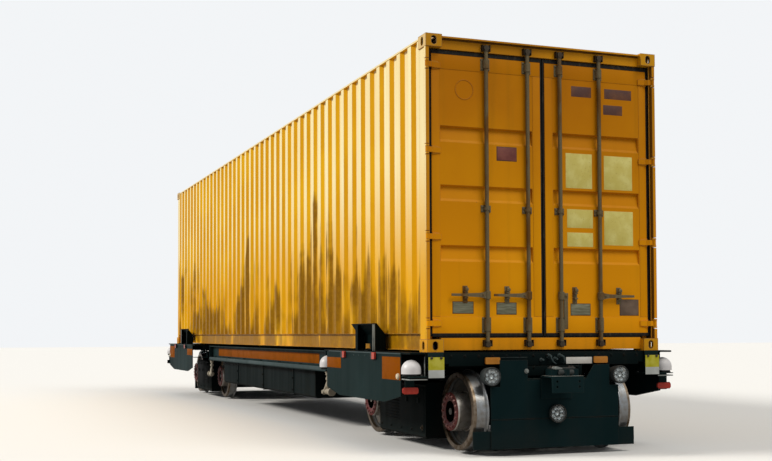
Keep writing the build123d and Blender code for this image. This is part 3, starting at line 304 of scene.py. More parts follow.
class Shape:
    """A mesh under construction, in metres in the row's frame; several closed forms make a piece."""

    def __init__(self):
        self.mesh = bmesh.new()

    def skin(self, rings, capped=True):
        """Faces from each ring of corners to the next, either of which may be a single tip."""
        for first, second in zip(rings, rings[1:]):
            steps = max(len(first), len(second))
            for k in range(steps if steps > 1 else 0):
                j = (k + 1) % steps
                corners = [first[k], first[j]] if len(first) > 1 else [first[0]]
                corners += [second[j], second[k]] if len(second) > 1 else [second[0]]
                self.mesh.faces.new(corners)
        for ring in (rings[0], rings[-1]):
            if capped and len(ring) > 1:
                self.mesh.faces.new(ring)

    def prism(self, outline, axis, start, end):
        """A flat outline, in the two other axes by their letters' order, drawn out along one axis."""
        i = "XYZ".index(axis)
        self.skin([[self.mesh.verts.new((*point[:i], along, *point[i:])) for point in outline]
                   for along in (start, end)])

    def block(self, low, high, soft):
        """A box between two corners, its edges rounded by soft."""
        low, high = Vector(low), Vector(high)
        matrix = Matrix.Translation((low + high) / 2) @ Matrix.Diagonal((*(high - low), 1))
        verts = bmesh.ops.create_cube(self.mesh, size=1, matrix=matrix)["verts"]
        edges = list(dict.fromkeys(edge for vert in verts for edge in vert.link_edges))
        bmesh.ops.bevel(self.mesh, geom=edges, offset=soft, segments=2, profile=0.6, affect="EDGES")

    def turned(self, profile, centre, axis, steps, capped=True):
        """A section of (along, radius) pairs turned round an axis through the centre."""
        i = "XYZ".index(axis)
        rings = []
        for along, radius in profile:
            ring = []
            for k in range(steps if radius else 1):
                angle = math.tau * k / steps
                point = Vector(centre)
                point[i] += along
                point[(i + 1) % 3] += radius * math.sin(angle)
                point[(i + 2) % 3] += radius * math.cos(angle)
                ring.append(self.mesh.verts.new(point))
            rings.append(ring)
        self.skin(rings, capped)

    def drum(self, half, radius, chamfer, centre, axis, steps):
        """A round half its length to each side of the centre, with chamfered ends."""
        along, inward = chamfer
        profile = [(-half, radius - inward), (along - half, radius), (half - along, radius),
                   (half, radius - inward)]
        self.turned(profile, centre, axis, steps)

    def rod(self, points, radius, steps=10):
        """A round bar that follows points, mitred at each, with flat ends."""
        points = [Vector(point) for point in points]
        ways = [(b - a).normalized() for a, b in zip(points, points[1:])]
        side = ways[0].orthogonal().normalized()
        rings = []
        for point, before, after in zip(points, ways[:1] + ways, ways + ways[-1:]):
            way = (before + after).normalized()
            side = (side - way * side.dot(way)).normalized()
            other = way.cross(side)
            reach = radius / max(0.4, way.dot(after))
            ring = []
            for k in range(steps):
                angle = math.tau * k / steps
                spread = side * math.cos(angle) + other * math.sin(angle)
                ring.append(self.mesh.verts.new(point + spread * reach))
            rings.append(ring)
        self.skin(rings)

    def bolt(self, centre, axis, size):
        """A washer with a hexagon head on it; size is the head's radius."""
        washer = [(0, 1.5 * size), (0.28 * size, 1.5 * size), (0.3 * size, 1.1 * size)]
        head = [(0.3 * size, size), (size, size), (1.2 * size, 0.8 * size)]
        self.turned(washer, centre, axis, 12)
        self.turned(head, centre, axis, 6)

    def mirrored(self, *flips):
        """Adds the whole of it again for each set of signs (x, y, z)."""
        faces = list(self.mesh.faces)
        for flip in flips:
            copy = bmesh.ops.duplicate(self.mesh, geom=faces)["geom"]
            verts = [item for item in copy if isinstance(item, bmesh.types.BMVert)]
            bmesh.ops.scale(self.mesh, vec=flip, verts=verts)

    def piece(self, name, material, body, slot, flip=(1, 1, 1), shift=(0, 0, 0)):
        """The finished piece on its body; flip and shift place a copy of the shape elsewhere."""
        mesh = bpy.data.meshes.new(name)
        copy = self.mesh.copy()
        bmesh.ops.scale(copy, vec=flip, verts=copy.verts)
        bmesh.ops.translate(copy, vec=shift, verts=copy.verts)
        bmesh.ops.recalc_face_normals(copy, faces=copy.faces)
        copy.to_mesh(mesh)
        copy.free()
        mesh.shade_smooth()
        mesh.set_sharp_from_angle(angle=math.radians(35))
        made = bpy.data.objects.new(name, mesh)
        bpy.context.scene.collection.objects.link(made)
        made.data.materials.append(material)
        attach(made, body)
        return made


DOORS = (("left", -1), ("right", 1))


def both_doors(shape, name, material, slot):
    """The shape on the right leaf, and its mirror image on the left one."""
    for side, sign in DOORS:
        shape.piece(f"{name}_{side}", material, f"door_{side}", slot, (1, sign, 1))


LEAF_FACE = 6.036
LEAF_BOTTOM = DECK + 0.168
LEAF_TOP = DECK + 2.742
LEAF_INNER = 0.024
LEAF_OUTER = 1.142
TUBE = 0.080
HINGES = (0.262, 1.050, 1.840, 2.620)
BLADE = 0.011
BLADE_OUTLINE = ((1.142, -0.038), (1.142, 0.040), (1.082, 0.034), (1.068, 0.026), (1.062, 0.010),
                 (1.062, -0.010), (1.068, -0.024), (1.082, -0.031))

leaf_frame = Shape()
for inner, outer, low, high in ((LEAF_INNER, LEAF_OUTER, LEAF_BOTTOM, DECK + 0.324),
                                (LEAF_INNER, LEAF_OUTER, DECK + 2.592, LEAF_TOP),
                                (LEAF_INNER, LEAF_INNER + TUBE, DECK + 0.326, DECK + 2.590),
                                (LEAF_OUTER - TUBE, LEAF_OUTER, DECK + 0.326, DECK + 2.590)):
    leaf_frame.block((LEAF_FACE - 0.004, inner, low), (LEAF_FACE + 0.003, outer, high), 0.0015)
both_doors(leaf_frame, "leaf_frame", door_gold, "container_paint")
straps = Shape()
for level in HINGES:
    outline = [(across, DECK + level + rise) for across, rise in BLADE_OUTLINE]
    straps.prism(outline, "X", LEAF_FACE, LEAF_FACE + BLADE)
    for across in (1.088, 1.120):
        rivet = (LEAF_FACE + BLADE, across, DECK + level)
        straps.turned([(0, 0.008), (0.002, 0.008), (0.003, 0.005)], rivet, "X", 12)
both_doors(straps, "hinge_straps", frame_gold, "container_paint")
boss = Shape()
boss.turned([(-0.004, 0.094), (0.002, 0.094), (0.0045, 0.090), (0.002, 0.086), (-0.004, 0.084)],
            (LEAF_FACE, -0.811, DECK + 2.415), "X", 48, capped=False)
boss.piece("pressed_ring", door_gold, "door_left", "container_paint")

# Door posts' outer edges. Folded steel boxes that reach forward beside the doors, cut away round
# each hinge, welded on and painted with the post.
ACROSS = (1, -1, 1)
LIP_OUTLINE = ((6.050, 1.183), (6.086, 1.183), (6.089, 1.186), (6.089, 1.2155), (6.086, 1.2185),
               (6.050, 1.2185))


def on_car(shape, name, material, slot, *flips):
    """The shape with its mirror images, as one piece of the car."""
    shape.mirrored(*flips)
    shape.piece(name, material, "car", slot)


post_lips = Shape()
cuts = [0.118, *(level + step for level in HINGES for step in (-0.051, 0.051)), 2.778]
for low, high in zip(cuts[::2], cuts[1::2]):
    post_lips.prism(LIP_OUTLINE, "Z", DECK + low, DECK + high)
on_car(post_lips, "post_lips", frame_gold, "container_paint", ACROSS)

# Door seals. Lipped strips of black rubber, riveted on round each leaf, dusty and scuffed where
# they rub the post; their outer lips lie over the header and the sill, as dark strips that also
# stand for painted shade in the rebates.
rubber = Finish("seal_rubber", 0.75, Specular_IOR_Level=0.15)
rub = rubber.noise(30, (1, 1, 0.3), detail=5, seed=8)
tone = rubber.mixed(rub.rise(0.5, 0.75) * 0.5, (0.012, 0.011, 0.010), (0.075, 0.062, 0.045))
rib = rubber.noise(120, (1, 1, 0.02), detail=1, seed=9)
seal_rubber = rubber.feed(Base_Color=tone, Roughness=0.6 + 0.3 * rub, Normal=rubber.bump(rib, 0.001))
dress(seal_rubber, "door_seal_left", "door_seal_right")
# Dark strips over the leaves' top and bottom edges: the seal's outer lips, and painted shade in the
# rebates.
seal_and_shade_strips = Shape()
for low, high in ((LEAF_TOP - 0.014, LEAF_TOP), (LEAF_BOTTOM - 0.027, LEAF_BOTTOM + 0.004)):
    seal_and_shade_strips.block((LEAF_FACE, LEAF_INNER, low), (LEAF_FACE + 0.0055, LEAF_OUTER, high), 0.002)
both_doors(seal_and_shade_strips, "seal_lip_and_shade", seal_rubber, "seal_rubber")

# Lock gear. Two galvanised steel bars on each leaf that turn in bolted brackets, with a forged cam
# at each end, and a flat handle on each bar that swings into a catch on the leaf.
BAR_X = 6.066
BAR_RADIUS = 0.019
BAR_HALF = 1.380
BAR_PLACES = (0.172, 0.600)
CAM_LEVELS = (DECK + 0.072, DECK + 2.805)
CAMS_MIDDLE = DECK + 1.4385
BRACKETS = ((0.176, 0.318, 0.046), (2.604, 2.716, 0.046), (1.288, 1.352, 0.050))
HANDLE = DECK + 0.522
HANDLE_REACH = 0.366
CATCH = 0.215
HANGING = 0.215
zinc = Finish("galvanised_steel", 0.5, Metallic=0.3, Specular_IOR_Level=0.3)
flake = zinc.cells(150, seed=10)
stain = zinc.noise(9, (1, 1, 0.25), detail=6, seed=11)
cam_grease = abs(zinc.axis("Z") - CAMS_MIDDLE).rise(1.33, 1.345)
tone = zinc.mixed(flake.rise(0.2, 0.8) * 0.5, (0.13, 0.098, 0.047), (0.20, 0.165, 0.095))
tone = zinc.mixed(stain.rise(0.48, 0.66), tone, (0.13, 0.060, 0.010))
tone = zinc.mixed(zinc.edge(0.004) * 0.35, tone, (0.30, 0.25, 0.16))
tone = zinc.mixed(cam_grease * 0.8, tone, (0.035, 0.025, 0.018))
galvanised = zinc.feed(Base_Color=tone, Roughness=0.42 + 0.3 * stain, Normal=zinc.bump(stain, 0.0012))


def bracket(shape, y, low, high, half):
    """A bar's bracket: a flanged plate on the leaf with a half round strap over the bar."""
    face = LEAF_FACE + 0.008
    shape.block((LEAF_FACE, y - half, low), (face, y + half, high), 0.002)
    strap = BAR_RADIUS + 0.009
    arc = [(BAR_X + strap * math.sin(math.pi * k / 8), y - strap * math.cos(math.pi * k / 8))
           for k in range(9)]
    arc = [(LEAF_FACE + 0.006, y - strap), *arc, (LEAF_FACE + 0.006, y + strap)]
    shape.prism(arc, "Z", low + 0.018, high - 0.018)
    for across in (y + 0.012 - half, y + half - 0.012):
        for level in (low + 0.014, high - 0.014):
            shape.bolt((face, across, level), "X", 0.0075)


def hub(shape, y):
    """The clamp of a handle round its bar."""
    shape.drum(0.038, 0.030, (0.004, 0.003), (BAR_X, y, HANDLE), "Z", 20)


def handle(shape, y, sign):
    """A bar's handle: a hub clamped to the bar and a flat arm that narrows to its grip."""
    hub(shape, y)
    grip = HANDLE_REACH - 0.12
    arm = [(0.020, -0.030), (0.020, 0.030), (0.085, 0.019), (grip, 0.013), (HANDLE_REACH, 0.012),
           (HANDLE_REACH, -0.010), (grip, -0.013), (0.085, -0.019)]
    outline = [(y + sign * along, HANDLE + rise) for along, rise in arm]
    shape.prism(outline, "X", BAR_X + 0.004, BAR_X + 0.016)
    shape.bolt((BAR_X + 0.016, y + sign * 0.05, HANDLE), "X", 0.009)


def catch(shape, y):
    """The handle's catch: a plate with a keeper above and below the arm and a seal lug on top."""
    face = LEAF_FACE + 0.006
    shape.block((LEAF_FACE, y - 0.024, HANDLE - 0.075), (face, y + 0.024, HANDLE + 0.085), 0.002)
    for low, high in ((0.018, 0.032), (-0.032, -0.018)):
        shape.block((LEAF_FACE, y - 0.018, HANDLE + low), (face + 0.030, y + 0.018, HANDLE + high), 0.003)
    lug = (BAR_X - 0.002, y, HANDLE + 0.052)
    shape.turned([(0, 0.020), (0.012, 0.020), (0.016, 0.014)], lug, "X", 16)
    for level in (0.072, -0.062):
        shape.bolt((face, y, HANDLE + level), "X", 0.007)


fold = Shape()
hub(fold, BAR_PLACES[0])
fold.block((BAR_X + 0.002, HANGING - 0.035, HANDLE - 0.026),
           (BAR_X + 0.016, HANGING + 0.022, HANDLE + 0.026), 0.003)
fold.block((BAR_X + 0.002, HANGING - 0.020, HANDLE - 0.315),
           (BAR_X + 0.014, HANGING + 0.020, HANDLE + 0.022), 0.003)
fold.bolt((BAR_X + 0.016, HANGING, HANDLE), "X", 0.010)
catch(fold, 0.332)
fold.piece("hanging_handle", galvanised, "door_right", "galvanised_steel")
for side, sign in DOORS:
    lock = Shape()
    for place in BAR_PLACES:
        y = sign * place
        lock.drum(BAR_HALF, BAR_RADIUS, (0.003, 0.003), (BAR_X, y, DECK + 1.440), "Z", 20)
        for level, up in zip(CAM_LEVELS, (1, -1)):
            lock.drum(0.030, 0.024, (0.004, 0.003), (BAR_X, y, level), "Z", 16)
            horn = [(-0.024, -0.020), (0.024, -0.020), (0.027, 0), (0.012, 0.022), (-0.012, 0.022),
                    (-0.027, 0)]
            lock.prism([(y + across, level + rise * up) for across, rise in horn], "X",
                       BAR_X - 0.020, BAR_X + 0.020)
        for low, high, half in BRACKETS:
            bracket(lock, y, DECK + low, DECK + high, half)
        if (side, place) != ("right", BAR_PLACES[0]):
            handle(lock, y, sign)
            catch(lock, y + sign * CATCH)
    made = lock.piece(f"lock_bars_{side}", galvanised, f"door_{side}", "galvanised_steel")
    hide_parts(f"lock_gear_{side}")

# Plates on the leaves. Data plates in bare metal, riveted down on a dark backing sheet, and thin
# printed labels and painted patches, all of them plain.


def mottled(name, clouds, onset, tones, dull, depth, share=1.0, **constants):
    """A skin in two tones that a noise divides; dull is its least roughness and what clouds add."""
    skin = Finish(name, dull[0], **constants)
    cloud = skin.noise(**clouds)
    tone = skin.mixed(cloud.rise(*onset) * share, *tones)
    return skin.feed(Base_Color=tone, Roughness=dull[0] + dull[1] * cloud, Normal=skin.bump(cloud, depth))


def printed(name, colour, aged, roughness=0.5, seed=0):
    """A printed film or painted patch, bleached in clouds and lifting at its grain."""
    film = Finish(name, roughness)
    cloud = film.noise(7, detail=6, seed=seed)
    speck = film.noise(70, detail=3, seed=seed)
    tone = film.mixed(cloud.rise(0.4, 0.68), colour, aged)
    tone = film.mixed(speck.rise(0.62, 0.70) * 0.25, tone, GOLD_DIRT)
    return film.feed(Base_Color=tone, Roughness=roughness + 0.2 * cloud, Normal=film.bump(speck, 0.0004))


plate_grey = mottled("plate_metal", {"scale": 60, "stretch": (1, 0.15, 3), "detail": 5, "seed": 12},
                     (0.35, 0.7), ((0.13, 0.125, 0.07), (0.26, 0.26, 0.18)), (0.35, 0.3), 0.0006,
                     Metallic=0.35)
label_pale = printed("label_pale", (0.62, 0.52, 0.115), (0.72, 0.64, 0.20), seed=13)
patch_brown = printed("patch_brown", (0.075, 0.022, 0.012), (0.15, 0.050, 0.014), seed=14)
placard_red = printed("placard_red", (0.13, 0.022, 0.016), (0.20, 0.05, 0.035), seed=15)
plate_brown = printed("plate_brown", (0.10, 0.060, 0.035), (0.17, 0.11, 0.07), seed=16)
plate_back = printed("plate_back", (0.030, 0.016, 0.008), (0.055, 0.030, 0.014), seed=17)
RIM = 0.006
RIVET_IN = 0.008
# low and high Y, low and high level over the deck, material, whether it is riveted
PLATES = (
    (-0.935, -0.735, 0.357, 0.457, plate_grey, True),
    (-0.489, -0.293, 0.350, 0.451, plate_grey, True),
    (0.293, 0.499, 0.343, 0.446, plate_grey, True),
    (0.834, 1.035, 0.344, 0.489, plate_brown, True),
    (0.248, 0.535, 1.552, 1.885, label_pale, False),
    (0.668, 0.983, 1.552, 1.879, label_pale, False),
    (0.259, 0.540, 1.173, 1.350, label_pale, False),
    (0.259, 0.540, 0.994, 1.128, label_pale, False),
    (0.665, 0.987, 1.015, 1.345, label_pale, False),
    (0.315, 0.534, 2.432, 2.532, patch_brown, False),
    (0.680, 0.983, 2.434, 2.530, patch_brown, False),
    (0.667, 0.879, 2.280, 2.373, patch_brown, False),
    (-0.477, -0.280, 1.781, 1.902, placard_red, True),
)
for number, (left, right, low, high, material, riveted) in enumerate(PLATES, start=1):
    body = "door_right" if left > 0 else "door_left"
    face = LEAF_FACE + (0.0022 if riveted else 0.0009)
    low, high = DECK + low, DECK + high
    plate = Shape()
    plate.block((LEAF_FACE - 0.001, left, low), (face, right, high), 0.0004)
    if riveted:
        back = Shape()
        back.block((LEAF_FACE - 0.001, left - RIM, low - RIM),
                   (LEAF_FACE + 0.0012, right + RIM, high + RIM), 0.0004)
        back.piece(f"door_plate_back_{number}", plate_back, body, "container_paint")
        for y in (left + RIVET_IN, right - RIVET_IN):
            for z in (low + RIVET_IN, high - RIVET_IN):
                plate.turned([(0, 0.004), (0.0012, 0.0036), (0.002, 0.0015)], (face, y, z), "X", 8)
    slot = "galvanised_steel" if riveted else "container_paint"
    plate.piece(f"door_plate_{number}", material, body, slot)

# Car frame. Girder, sills, bearers and panels of welded steel plate in one dark slate coat, dusty
# in streaks and chipped along the plate edges.
SLATE = (0.0065, 0.0175, 0.0175)
SLATE_FADED = (0.011, 0.026, 0.0265)
SLATE_DIRT = (0.028, 0.029, 0.024)
slate = worn_paint("frame_slate", SLATE, SLATE_FADED, SLATE_DIRT, 0.42, shine=0.03, streaks=0.3,
                   low=0.2, chips=0.12, dents=1.5, seed=20)
dress(slate, "spine", "side_sills", "cross_bearers", "side_panels", "corner_brackets")

# Side sills. Outward steel channels with an orange reflecting band stuck along the web, lips that
# dust turns paler, the bearers' bolts through the web, and a plate welded over each end.
SILL_WEB = 1.152
SILL_END = 3.15


def reflecting(name, colour, aged, seed):
    """A reflecting film: a fine honeycomb in it, dust on it in clouds and in streaks."""
    film = Finish(name, 0.34, Specular_IOR_Level=0.01)
    comb = film.cells(240, seed)
    cloud = film.noise(6, detail=6, seed=seed)
    run = film.noise(12, (1, 1, 0.15), detail=4, seed=seed + 1)
    tone = film.mixed(comb.rise(0.25, 0.5), colour, aged)
    tone = film.mixed(cloud.rise(0.45, 0.75) * 0.45, tone, (0.10, 0.035, 0.004))
    tone = film.mixed(run.rise(0.55, 0.8) * 0.3, tone, (0.06, 0.035, 0.012))
    return film.feed(Base_Color=tone, Roughness=0.28 + 0.3 * cloud, Normal=film.bump(comb, 0.0003))


def stuck_on(shape, face, start, end, low, high):
    """A sheet of film on a side face."""
    shape.block((start, face - 0.0005, low), (end, face + 0.0012, high), 0.0005)


# The film's orange is deep and dark: its own colour, darkened further as painted shade.
orange = reflecting("reflecting_orange", (0.185, 0.044, 0.0008), (0.24, 0.062, 0.001), 21)
band = Shape()
stuck_on(band, SILL_WEB, -2.71, 2.71, 0.763, 0.882)
on_car(band, "sill_bands", orange, "frame_paint", ACROSS)
dusty_slate = worn_paint("dusty_slate", (0.045, 0.066, 0.068), (0.065, 0.090, 0.092),
                         (0.05, 0.052, 0.046), 0.5, shine=0.05, streaks=0.3, low=0.2, chips=0.2,
                         edge=0.003, seed=23)
sill_lips = Shape()
sill_lips.block((0.012 - SILL_END, 1.2125, 0.690), (SILL_END - 0.012, 1.2185, 0.738), 0.002)
on_car(sill_lips, "sill_lips", dusty_slate, "frame_paint", ACROSS)
sill_trim = Shape()
for k in range(-3, 4):
    for beside in (-0.035, 0.035):
        sill_trim.bolt((k * 0.98 + beside, SILL_WEB, 0.748), "Y", 0.008)
for x in (0.001 - SILL_END, SILL_END - 0.011):
    sill_trim.block((x, SILL_WEB - 0.004, 0.690), (x + 0.010, 1.218, 0.916), 0.001)
on_car(sill_trim, "sill_trim", slate, "frame_paint", ACROSS)

# Side panels. Folded steel sheet held by bolts, with an orange reflecting patch stuck on at each
# end, a dusty top edge and a round cream button low on the outer patch's corner.
PANEL = 1.390
LENGTHWISE = (-1, 1, 1)
CAR_CORNERS = (ACROSS, LENGTHWISE, (-1, -1, 1))
patches = Shape()
stuck_on(patches, PANEL, 3.734, 4.200, 0.755, 0.865)
stuck_on(patches, PANEL, 5.410, 5.872, 0.688, 0.899)
on_car(patches, "panel_patches", orange, "frame_paint", *CAR_CORNERS)
panel_edge = Shape()
panel_edge.block((3.80, PANEL - 0.011, 0.925), (5.878, PANEL + 0.003, 0.9352), 0.001)
on_car(panel_edge, "panel_edges", dusty_slate, "frame_paint", *CAR_CORNERS)
panel_bolts = Shape()
for x in (4.612, 4.763, 4.938):
    panel_bolts.bolt((x, PANEL, 0.899), "Y", 0.0055)
on_car(panel_bolts, "panel_bolts", dusty_slate, "galvanised_steel", *CAR_CORNERS)
cream = printed("cream_button", (0.62, 0.52, 0.36), (0.70, 0.62, 0.46), 0.4, seed=22)
button = Shape()
button.turned([(0, 0.029), (0.010, 0.029), (0.019, 0.023), (0.023, 0.012), (0.024, 0)],
              (5.828, PANEL, 0.722), "Y", 24)
on_car(button, "panel_buttons", cream, "white_plastic", *CAR_CORNERS)

# Battery boxes. Steel cases in black paint with a raised joint between lid and tray, each hung in
# steel straps that are bolted up its face.
# Painted shade: this black is darker than black paint is, for the shade on the car's lower parts.
black = worn_paint("equipment_black_and_shade", (0.0026, 0.0064, 0.0066), (0.005, 0.0095, 0.0096),
                   (0.012, 0.013, 0.011), 0.5, shine=0.03, streaks=0.35, low=0.15, chips=0.10,
                   dents=1.5, seed=24)
dress(black, "battery_boxes", "guides", "end_decks", "side_boxes_front", "side_boxes_rear")
BATTERY_FACE = 1.120
STRAP_FACE = BATTERY_FACE + 0.008
hangers = Shape()
for x in (-1.51, 0.0, 1.51):
    hangers.block((x - 0.030, BATTERY_FACE - 0.001, 0.350), (x + 0.030, STRAP_FACE, 0.760), 0.002)
    hangers.block((x - 0.030, 0.40, 0.3315), (x + 0.030, BATTERY_FACE, 0.3385), 0.002)
    for z in (0.40, 0.55, 0.70):
        hangers.bolt((x, STRAP_FACE, z), "Y", 0.010)
on_car(hangers, "battery_straps", black, "black_paint", ACROSS)
seams = Shape()
for z in (0.640, 0.655):
    seams.block((-2.44, BATTERY_FACE - 0.004, z - 0.004), (2.44, BATTERY_FACE + 0.005, z + 0.004), 0.001)
on_car(seams, "battery_seams", black, "black_paint", ACROSS)

# Container side guides. Black steel plate with a welded edge bar, rubbed bare where containers
# land against it, a lip along the top that runs out over a gusset, and bolted feet.
rubbed_edge = mottled("rubbed_edge", {"scale": 14, "stretch": (1, 1, 0.3), "detail": 6, "seed": 26},
                      (0.40, 0.62), ((0.135, 0.135, 0.11), (0.035, 0.04, 0.038)), (0.32, 0.35), 0.001,
                      Metallic=0.4, Specular_IOR_Level=0.3)
GUIDE_FACE = 1.335
GUIDE_FOOT = 0.952
edges = Shape()
edges.block((5.006, GUIDE_FACE - 0.002, 0.946), (5.077, GUIDE_FACE + 0.004, 1.206), 0.0015)
on_car(edges, "guide_edges", rubbed_edge, "black_paint", *CAR_CORNERS)
guide_lips = Shape()
guide_lips.block((4.385, GUIDE_FACE - 0.0145, 1.208), (5.082, GUIDE_FACE + 0.0035, 1.2165), 0.0015)
guide_lips.prism([(4.502, 1.209), (4.390, 1.209), (4.398, 1.200), (4.502, 1.150)], "Y",
                 GUIDE_FACE - 0.011, GUIDE_FACE - 0.001)
on_car(guide_lips, "guide_lips", black, "black_paint", *CAR_CORNERS)
guide_feet = Shape()
for x in (4.535, 4.79, 5.045):
    guide_feet.block((x - 0.045, 1.236, 0.942), (x + 0.045, GUIDE_FACE - 0.010, GUIDE_FOOT), 0.002)
    for beside in (-0.025, 0.025):
        guide_feet.bolt((x + beside, 1.28, GUIDE_FOOT), "Z", 0.011)
on_car(guide_feet, "guide_feet", black, "black_paint", *CAR_CORNERS)

# Lock cones and pivots. Plain iron castings, greased and dull: the cones stand up from the deck
# into the container's lower corners, the pivots turn in the bogies.
iron = Finish("cast_iron", 0.6, Metallic=0.4)
pit = iron.noise(120, detail=3, seed=28)
grease = iron.noise(5, detail=5, seed=29)
tone = iron.mixed(grease.rise(0.4, 0.65), (0.10, 0.085, 0.07), (0.035, 0.03, 0.026))
cast_iron = iron.feed(Base_Color=tone, Roughness=0.35 + 0.35 * grease, Normal=iron.bump(pit, 0.0015))
dress(cast_iron, "lock_cones", "pivots")

# Dome sensors. A white moulded cap with a rolled rim on a black foot, held on the shelf by a ring
# of screws.
SHELF = 0.728
DOME_RIM = 0.7495
DOMES = ((5.994, 1.334), (-5.994, 1.334), (3.585, 1.334))
SCREW_RING = (0.083, 0.04565)
dome = Finish("dome_shell", 0.32)
foot = dome.axis("Z").rise(DOME_RIM + 0.001, DOME_RIM - 0.001)
haze = dome.noise(8, detail=5, seed=30)
tone = dome.mixed(haze.rise(0.5, 0.8) * 0.4, (0.64, 0.62, 0.62), (0.46, 0.43, 0.39))
tone = dome.mixed(foot, tone, (0.014, 0.015, 0.016))
dome_shell = dome.feed(Base_Color=tone, Roughness=0.25 + 0.3 * haze, Normal=dome.bump(haze, 0.0004))
dress(dome_shell, "dome_sensors")
rims = Shape()
feet = Shape()
for x, y in DOMES:
    rims.turned([(0, 0.0860), (0, 0.0883), (0.004, 0.0890), (0.009, 0.0883), (0.010, 0.0860)],
                (x, y, DOME_RIM), "Z", 40)
    for k in range(6):
        angle = math.tau * (k + 0.5) / 6
        screw = (x + SCREW_RING[0] * math.cos(angle), y + SCREW_RING[1] * math.sin(angle), SHELF)
        feet.bolt(screw, "Z", 0.0055)
    feet.turned([(0, 0.080), (0.006, 0.080), (0.010, 0.076)], (x, y, SHELF), "Z", 32)
white = mottled("dome_rim", {"scale": 20, "seed": 31}, (0.4, 0.8),
                ((0.62, 0.61, 0.60), (0.48, 0.45, 0.41)), (0.25, 0.2), 0.0004)
on_car(rims, "dome_rims", white, "white_plastic", ACROSS)
on_car(feet, "dome_feet", black, "black_paint", ACROSS)

# Lamp lenses. Moulded amber and red acrylic over a reflector, with fine optic ribs inside that
# show as lighter bands, a painted highlight of the reflector; each sits in a thin bezel.
LENS_DARK = (0.020, 0.006, 0.005)


def lens(name, colour, rib_highlight, seed):
    """A ribbed lens; what lies outside the lamps' openings is their dark housing."""
    skin = Finish(name, 0.2, Specular_IOR_Level=0.25)
    rib = abs(skin.axis("Y") % 0.012 - 0.006) / 0.006
    cell = abs(skin.axis("Z") % 0.011 - 0.0055) / 0.0055
    haze = skin.noise(30, seed=seed)
    # Painted highlight: the ribs' grid is lighter, for the reflector's sparkle behind them.
    tone = skin.mixed((rib * cell).rise(0.1, 0.7), colour, rib_highlight)
    tone = skin.mixed(haze.rise(0.6, 0.85) * 0.4, tone, (0.12, 0.10, 0.08))
    along = abs(skin.axis("X"))
    housing = (abs(along - 4.345) > 0.036) * (abs(along - 5.225) > 0.036) * (along < 5.5)
    tone = skin.mixed(housing, tone, LENS_DARK)
    return skin.feed(Base_Color=tone, Roughness=0.1 + 0.2 * haze, Normal=skin.bump(rib + cell, 0.0012))


dress(lens("amber_lens", (0.50, 0.165, 0.010), (0.72, 0.36, 0.08), 33), "amber_lamps")
dress(lens("red_lens", (0.34, 0.012, 0.006), (0.60, 0.10, 0.06), 34), "red_lamps")
bezels = Shape()
for left, right, low, high in ((0.491, 0.649, 0.829, 0.837), (0.491, 0.649, 0.887, 0.895),
                               (0.491, 0.499, 0.829, 0.895), (0.641, 0.649, 0.829, 0.895)):
    bezels.block((6.080, left, low), (6.092, right, high), 0.002)
for x in (4.315, 5.205):
    bezels.block((x - 0.058, PANEL - 0.001, 0.8655), (x + 0.058, PANEL + 0.006, 0.9352), 0.002)
bezels.block((5.983, 1.266, 0.5655), (5.990, 1.4235, 0.6305), 0.002)
on_car(bezels, "lamp_bezels", black, "black_paint", *CAR_CORNERS)

# End faces of the decks. A steel apron with a row of bolts along its edge; on it a blank white
# plate and a dark one, and pipe unions of dusty cast iron with their bent pipes.
DECK_END = 6.082
enamel = printed("plate_white", (0.70, 0.67, 0.62), (0.58, 0.54, 0.47), 0.35, seed=36)
deck_plate = Shape()
deck_plate.block((DECK_END, 0.205, 0.826), (DECK_END + 0.004, 0.485, 0.888), 0.001)
deck_plate.mirrored(LENGTHWISE)
for skin, sign in ((enamel, 1), (black, -1)):
    deck_plate.piece(f"end_plate_{skin.name}", skin, "car", "frame_paint", (1, sign, 1))
plate_edge = Shape()
plate_edge.block((DECK_END, -0.485, 0.889), (DECK_END + 0.0055, -0.205, 0.893), 0.0008)
on_car(plate_edge, "end_plate_edges", dusty_slate, "frame_paint", LENGTHWISE)
# Painted shade: the apron is in the black paint rather than the slate coat, for the shade under the
# container's overhang.
apron = Shape()
apron.block((DECK_END - 0.024, -1.00, 0.815), (DECK_END, 1.00, 0.928), 0.002)
for k in range(15):
    apron.bolt((DECK_END, k * 0.14 - 0.98, 0.905), "X", 0.009)
on_car(apron, "deck_aprons", black, "frame_paint", LENGTHWISE)
unions = Shape()
for y, z, size in ((0.02, 0.900, 0.017), (0.085, 0.873, 0.014), (0.135, 0.903, 0.016),
                   (-0.06, 0.866, 0.013)):
    unions.turned([(0, size * 1.5), (0.006, size * 1.5), (0.007, size), (0.030, size),
                   (0.034, size * 0.8), (0.050, size * 0.7)], (DECK_END, y, z), "X", 6)
unions.rod([(6.130, 0.02, 0.900), (6.136, 0.02, 0.880), (6.137, 0.04, 0.845), (6.12, 0.07, 0.83),
            (6.095, 0.09, 0.826)], 0.007)
unions.rod([(6.128, 0.135, 0.903), (6.135, 0.15, 0.893), (6.136, 0.16, 0.86), (6.12, 0.165, 0.84),
            (6.09, 0.17, 0.832)], 0.008)
on_car(unions, "pipe_unions", dusty_slate, "galvanised_steel", LENGTHWISE)

